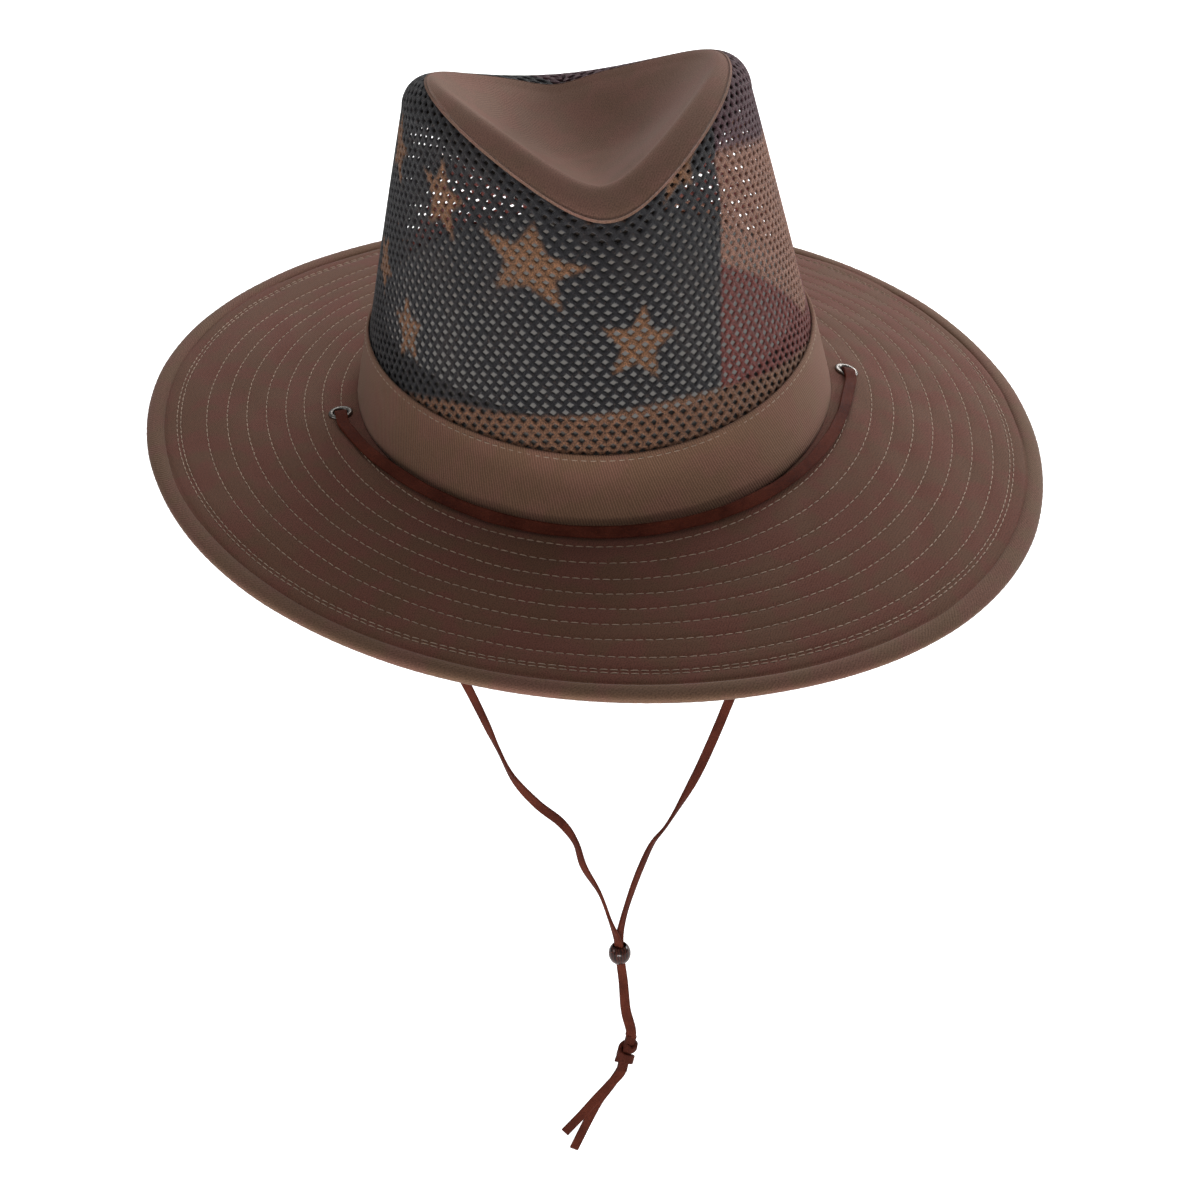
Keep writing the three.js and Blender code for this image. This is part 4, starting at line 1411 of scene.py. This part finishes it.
def make_net(name, first, last):
    """Cells of netting from one column to another. Each cell is a diamond with a hole,
    rounded like yarn from its rim to the hole's edge on both faces. No two are quite the
    same, and the last ones run out into the seams."""
    pitch = (HOLE_PITCH, ROW_RISE)
    corner = np.array(CELL) * pitch
    (wide, tall), (side, high) = (HOLE_HALF_WIDTH, HOLE_HALF_HEIGHT), HOLE_SHOULDER
    hole = np.array([(wide, 0), (side, high), (0, tall), (-side, high), (-wide, 0), (-side, -high),
                     (0, -tall), (side, -high)])
    columns, rows = np.meshgrid(np.arange(first, last), np.arange(NET_ROWS), indexing="ij")
    centre = np.stack([columns + 0.5 * (rows % 2), rows.astype(float)], -1).reshape(-1, 2) * pitch
    chance = np.random.default_rng(11)
    sizes = 1 + chance.normal(0, UNEVEN_SIZE, (len(centre), len(CELL), 1))
    sizes *= edge_line(centre[:, 1] + NET_START, HOLES_CLOSE)[:, None, None]
    shifts = chance.normal(0, UNEVEN_PLACE, (len(centre), 1, 2))
    places = np.stack([
        centre[:, None, :] + corner[None] * (1 - share) + (hole[None] * sizes + shifts) * share
        for share, _ in YARN_RINGS
    ], 1)
    lifts = np.broadcast_to(np.array([lift for _, lift in YARN_RINGS])[None, :, None], places.shape[:3])
    distance, rise = on_cloth(places[..., 0], places[..., 1] + NET_START)
    turn, share, past = on_wall(distance, rise)
    past = past | (rise < NET_START - 2)
    points = on_crown(turn, share, lifts)
    k = np.arange(len(CELL))
    k2 = (k + 1) % len(CELL)
    ring = np.arange(len(YARN_RINGS) - 1)[:, None] * len(CELL)
    pattern = np.stack([ring + k, ring + k2, ring + len(CELL) + k2, ring + len(CELL) + k], -1).reshape(-1, 4)
    cells = np.arange(len(centre))[:, None, None] * len(YARN_RINGS) * len(CELL)
    faces = (cells + pattern[None]).reshape(-1, 4)
    faces = faces[past.reshape(-1)[faces].sum(1) < 3]
    used = np.unique(faces)
    renumber = np.zeros(past.size, int)
    renumber[used] = np.arange(len(used))
    net = make_piece(name, points.reshape(-1, 3)[used], [renumber[faces]], netting)
    ink = print_colour(distance, rise).reshape(-1, 3)[used]
    ink = np.concatenate([ink, np.ones((len(ink), 1))], 1).astype(np.float32)
    layer = net.data.attributes.new("print_colour", "FLOAT_COLOR", "POINT")
    layer.data.foreach_set("color", ink.ravel())
    return net


net_right = make_net("netting_right", 0, NET_COLUMNS)
net_left = make_net("netting_left", -NET_COLUMNS, 0)
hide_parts("crown_net")
for piece in (net_right, net_left):
    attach(piece, "root")

net_foot = make_strip("netting_foot", -BRIM_THICKNESS, NET_START - 1, 0, -NET_THICKNESS, 5, 4,
                      netting, 0)
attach(net_foot, "root")

# The tip
#
# The crown's top is one creased panel of twill, teardrop shaped, pressed into a deep
# hollow with a soft crest round it. Its edge is turned under and sewn to the netting.

TIP_THICKNESS = 1.2
TIP_AROUND = 320
TIP_RINGS = 64
SEAM_OVERLAP = 0.012
# A soft ridge on the crest at the front.
RIDGE_HEIGHT = 2.4
RIDGE_SHARE = 1.03
RIDGE_HALF_WIDTH = 0.055


def make_tip():
    """Two faces of cloth from the seam to the middle of the hollow, joined at their edge,
    and each closed by a fan of triangles in the middle."""
    turns = round_turns(TIP_AROUND)
    seam = seam_share(turns)
    steps = np.concatenate([[0, 0.004, 0.01], np.linspace(0.018, 0.975, TIP_RINGS) ** 1.15])
    top_share = (seam - SEAM_OVERLAP)[:, None] + (2 - seam + SEAM_OVERLAP)[:, None] * steps[None, :]
    edge = np.clip(steps / 0.012, 0, 1)
    top_lift = 0.25 + 0.45 * np.sqrt(edge) - 0.5 * np.clip(steps / 0.1, 0, 1)
    low_lift = top_lift[::-2] - TIP_THICKNESS * np.clip(steps[::-2] / 0.006, 0.25, 1)
    share = np.concatenate([top_share, top_share[:, ::-2]], 1)
    grid_turn = np.broadcast_to(turns[:, None], share.shape)
    calm = np.clip((2 - share) / 0.5, 0, 1)
    creases = 0.2 * np.sin(3 * grid_turn + 5 * share) + 0.12 * np.sin(5 * grid_turn - 7 * share + 2)
    off_ridge = (share - RIDGE_SHARE) / RIDGE_HALF_WIDTH
    ridge = RIDGE_HEIGHT * frontness(grid_turn) ** 2 * np.exp(-(off_ridge**2))
    lift = np.concatenate([top_lift, low_lift])[None, :] + creases * calm + ridge
    points = on_crown(grid_turn, share, lift)
    half, size = len(steps), share.shape[1]
    faces = ring_faces(TIP_AROUND, size)
    faces = faces[np.tile(np.arange(size), TIP_AROUND) != half - 1]
    flat = np.concatenate([points.reshape(-1, 3), [points[:, half - 1].mean(0), points[:, half].mean(0)]])
    here = np.arange(TIP_AROUND) * size
    after = (np.arange(TIP_AROUND) + 1) % TIP_AROUND * size
    top = np.stack([here + half - 1, after + half - 1, np.full(TIP_AROUND, len(flat) - 2)], -1)
    low = np.stack([after + half, here + half, np.full(TIP_AROUND, len(flat) - 1)], -1)
    return make_piece("creased_tip", flat, [faces, top, low], tip_twill, {"cloth": flat[:, :2] * MM})


# The tip's shades are partly its cloth's colour and partly painted light: they are made paler to stand in
# for the light from above in the hollow.
TIP_SHADES_WITH_PAINTED_LIGHT = [(0.21, 0.116, 0.08), (0.235, 0.133, 0.095), (0.25, 0.13, 0.098)]
tip_twill = twill_cloth("tip_twill", 0.55, 1150, TIP_SHADES_WITH_PAINTED_LIGHT, contrast=0.5, ribbing=0.2)
creased_tip = make_tip()
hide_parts("crown_tip")
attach(creased_tip, "root")

# The tape
#
# A narrow cotton tape is sewn over the seam of netting and tip inside the crown. Its
# near-black colour is painted shade: it shows through the netting's holes as a dark line
# below the tip, where the inside of the crown is in shade.

TAPE_SHARE = 0.09
TAPE_AROUND = 240
TAPE_ROWS = 7
# The tape's upper edge below the seam, and how far its two faces lie inside the netting.
TAPE_BELOW_SEAM = 0.005
TAPE_FACES = (0.1, 0.5)


def make_tape():
    steps = np.linspace(0, 1, TAPE_ROWS)
    steps = np.concatenate([steps, steps[::-1]])[None, :]
    turns = round_turns(TAPE_AROUND)[:, None]
    share = seam_share(turns) - TAPE_SHARE + (TAPE_SHARE - TAPE_BELOW_SEAM) * steps
    lift = np.repeat([-NET_THICKNESS - inside for inside in TAPE_FACES], TAPE_ROWS)
    points = on_crown(turns, share, lift)
    return make_piece("seam_tape", points, [ring_faces(TAPE_AROUND, len(lift))], tape_cloth,
                      {"cloth": points[..., :2] * MM})


# The tape's near-black shades are painted shade, seen through the netting's holes.
TAPE_PAINTED_SHADE = [(0.03, 0.022, 0.018), (0.04, 0.03, 0.025), (0.045, 0.032, 0.026)]
tape_cloth = twill_cloth("tape_cloth", 0.0, 1500, TAPE_PAINTED_SHADE)
seam_tape = make_tape()
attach(seam_tape, "root")
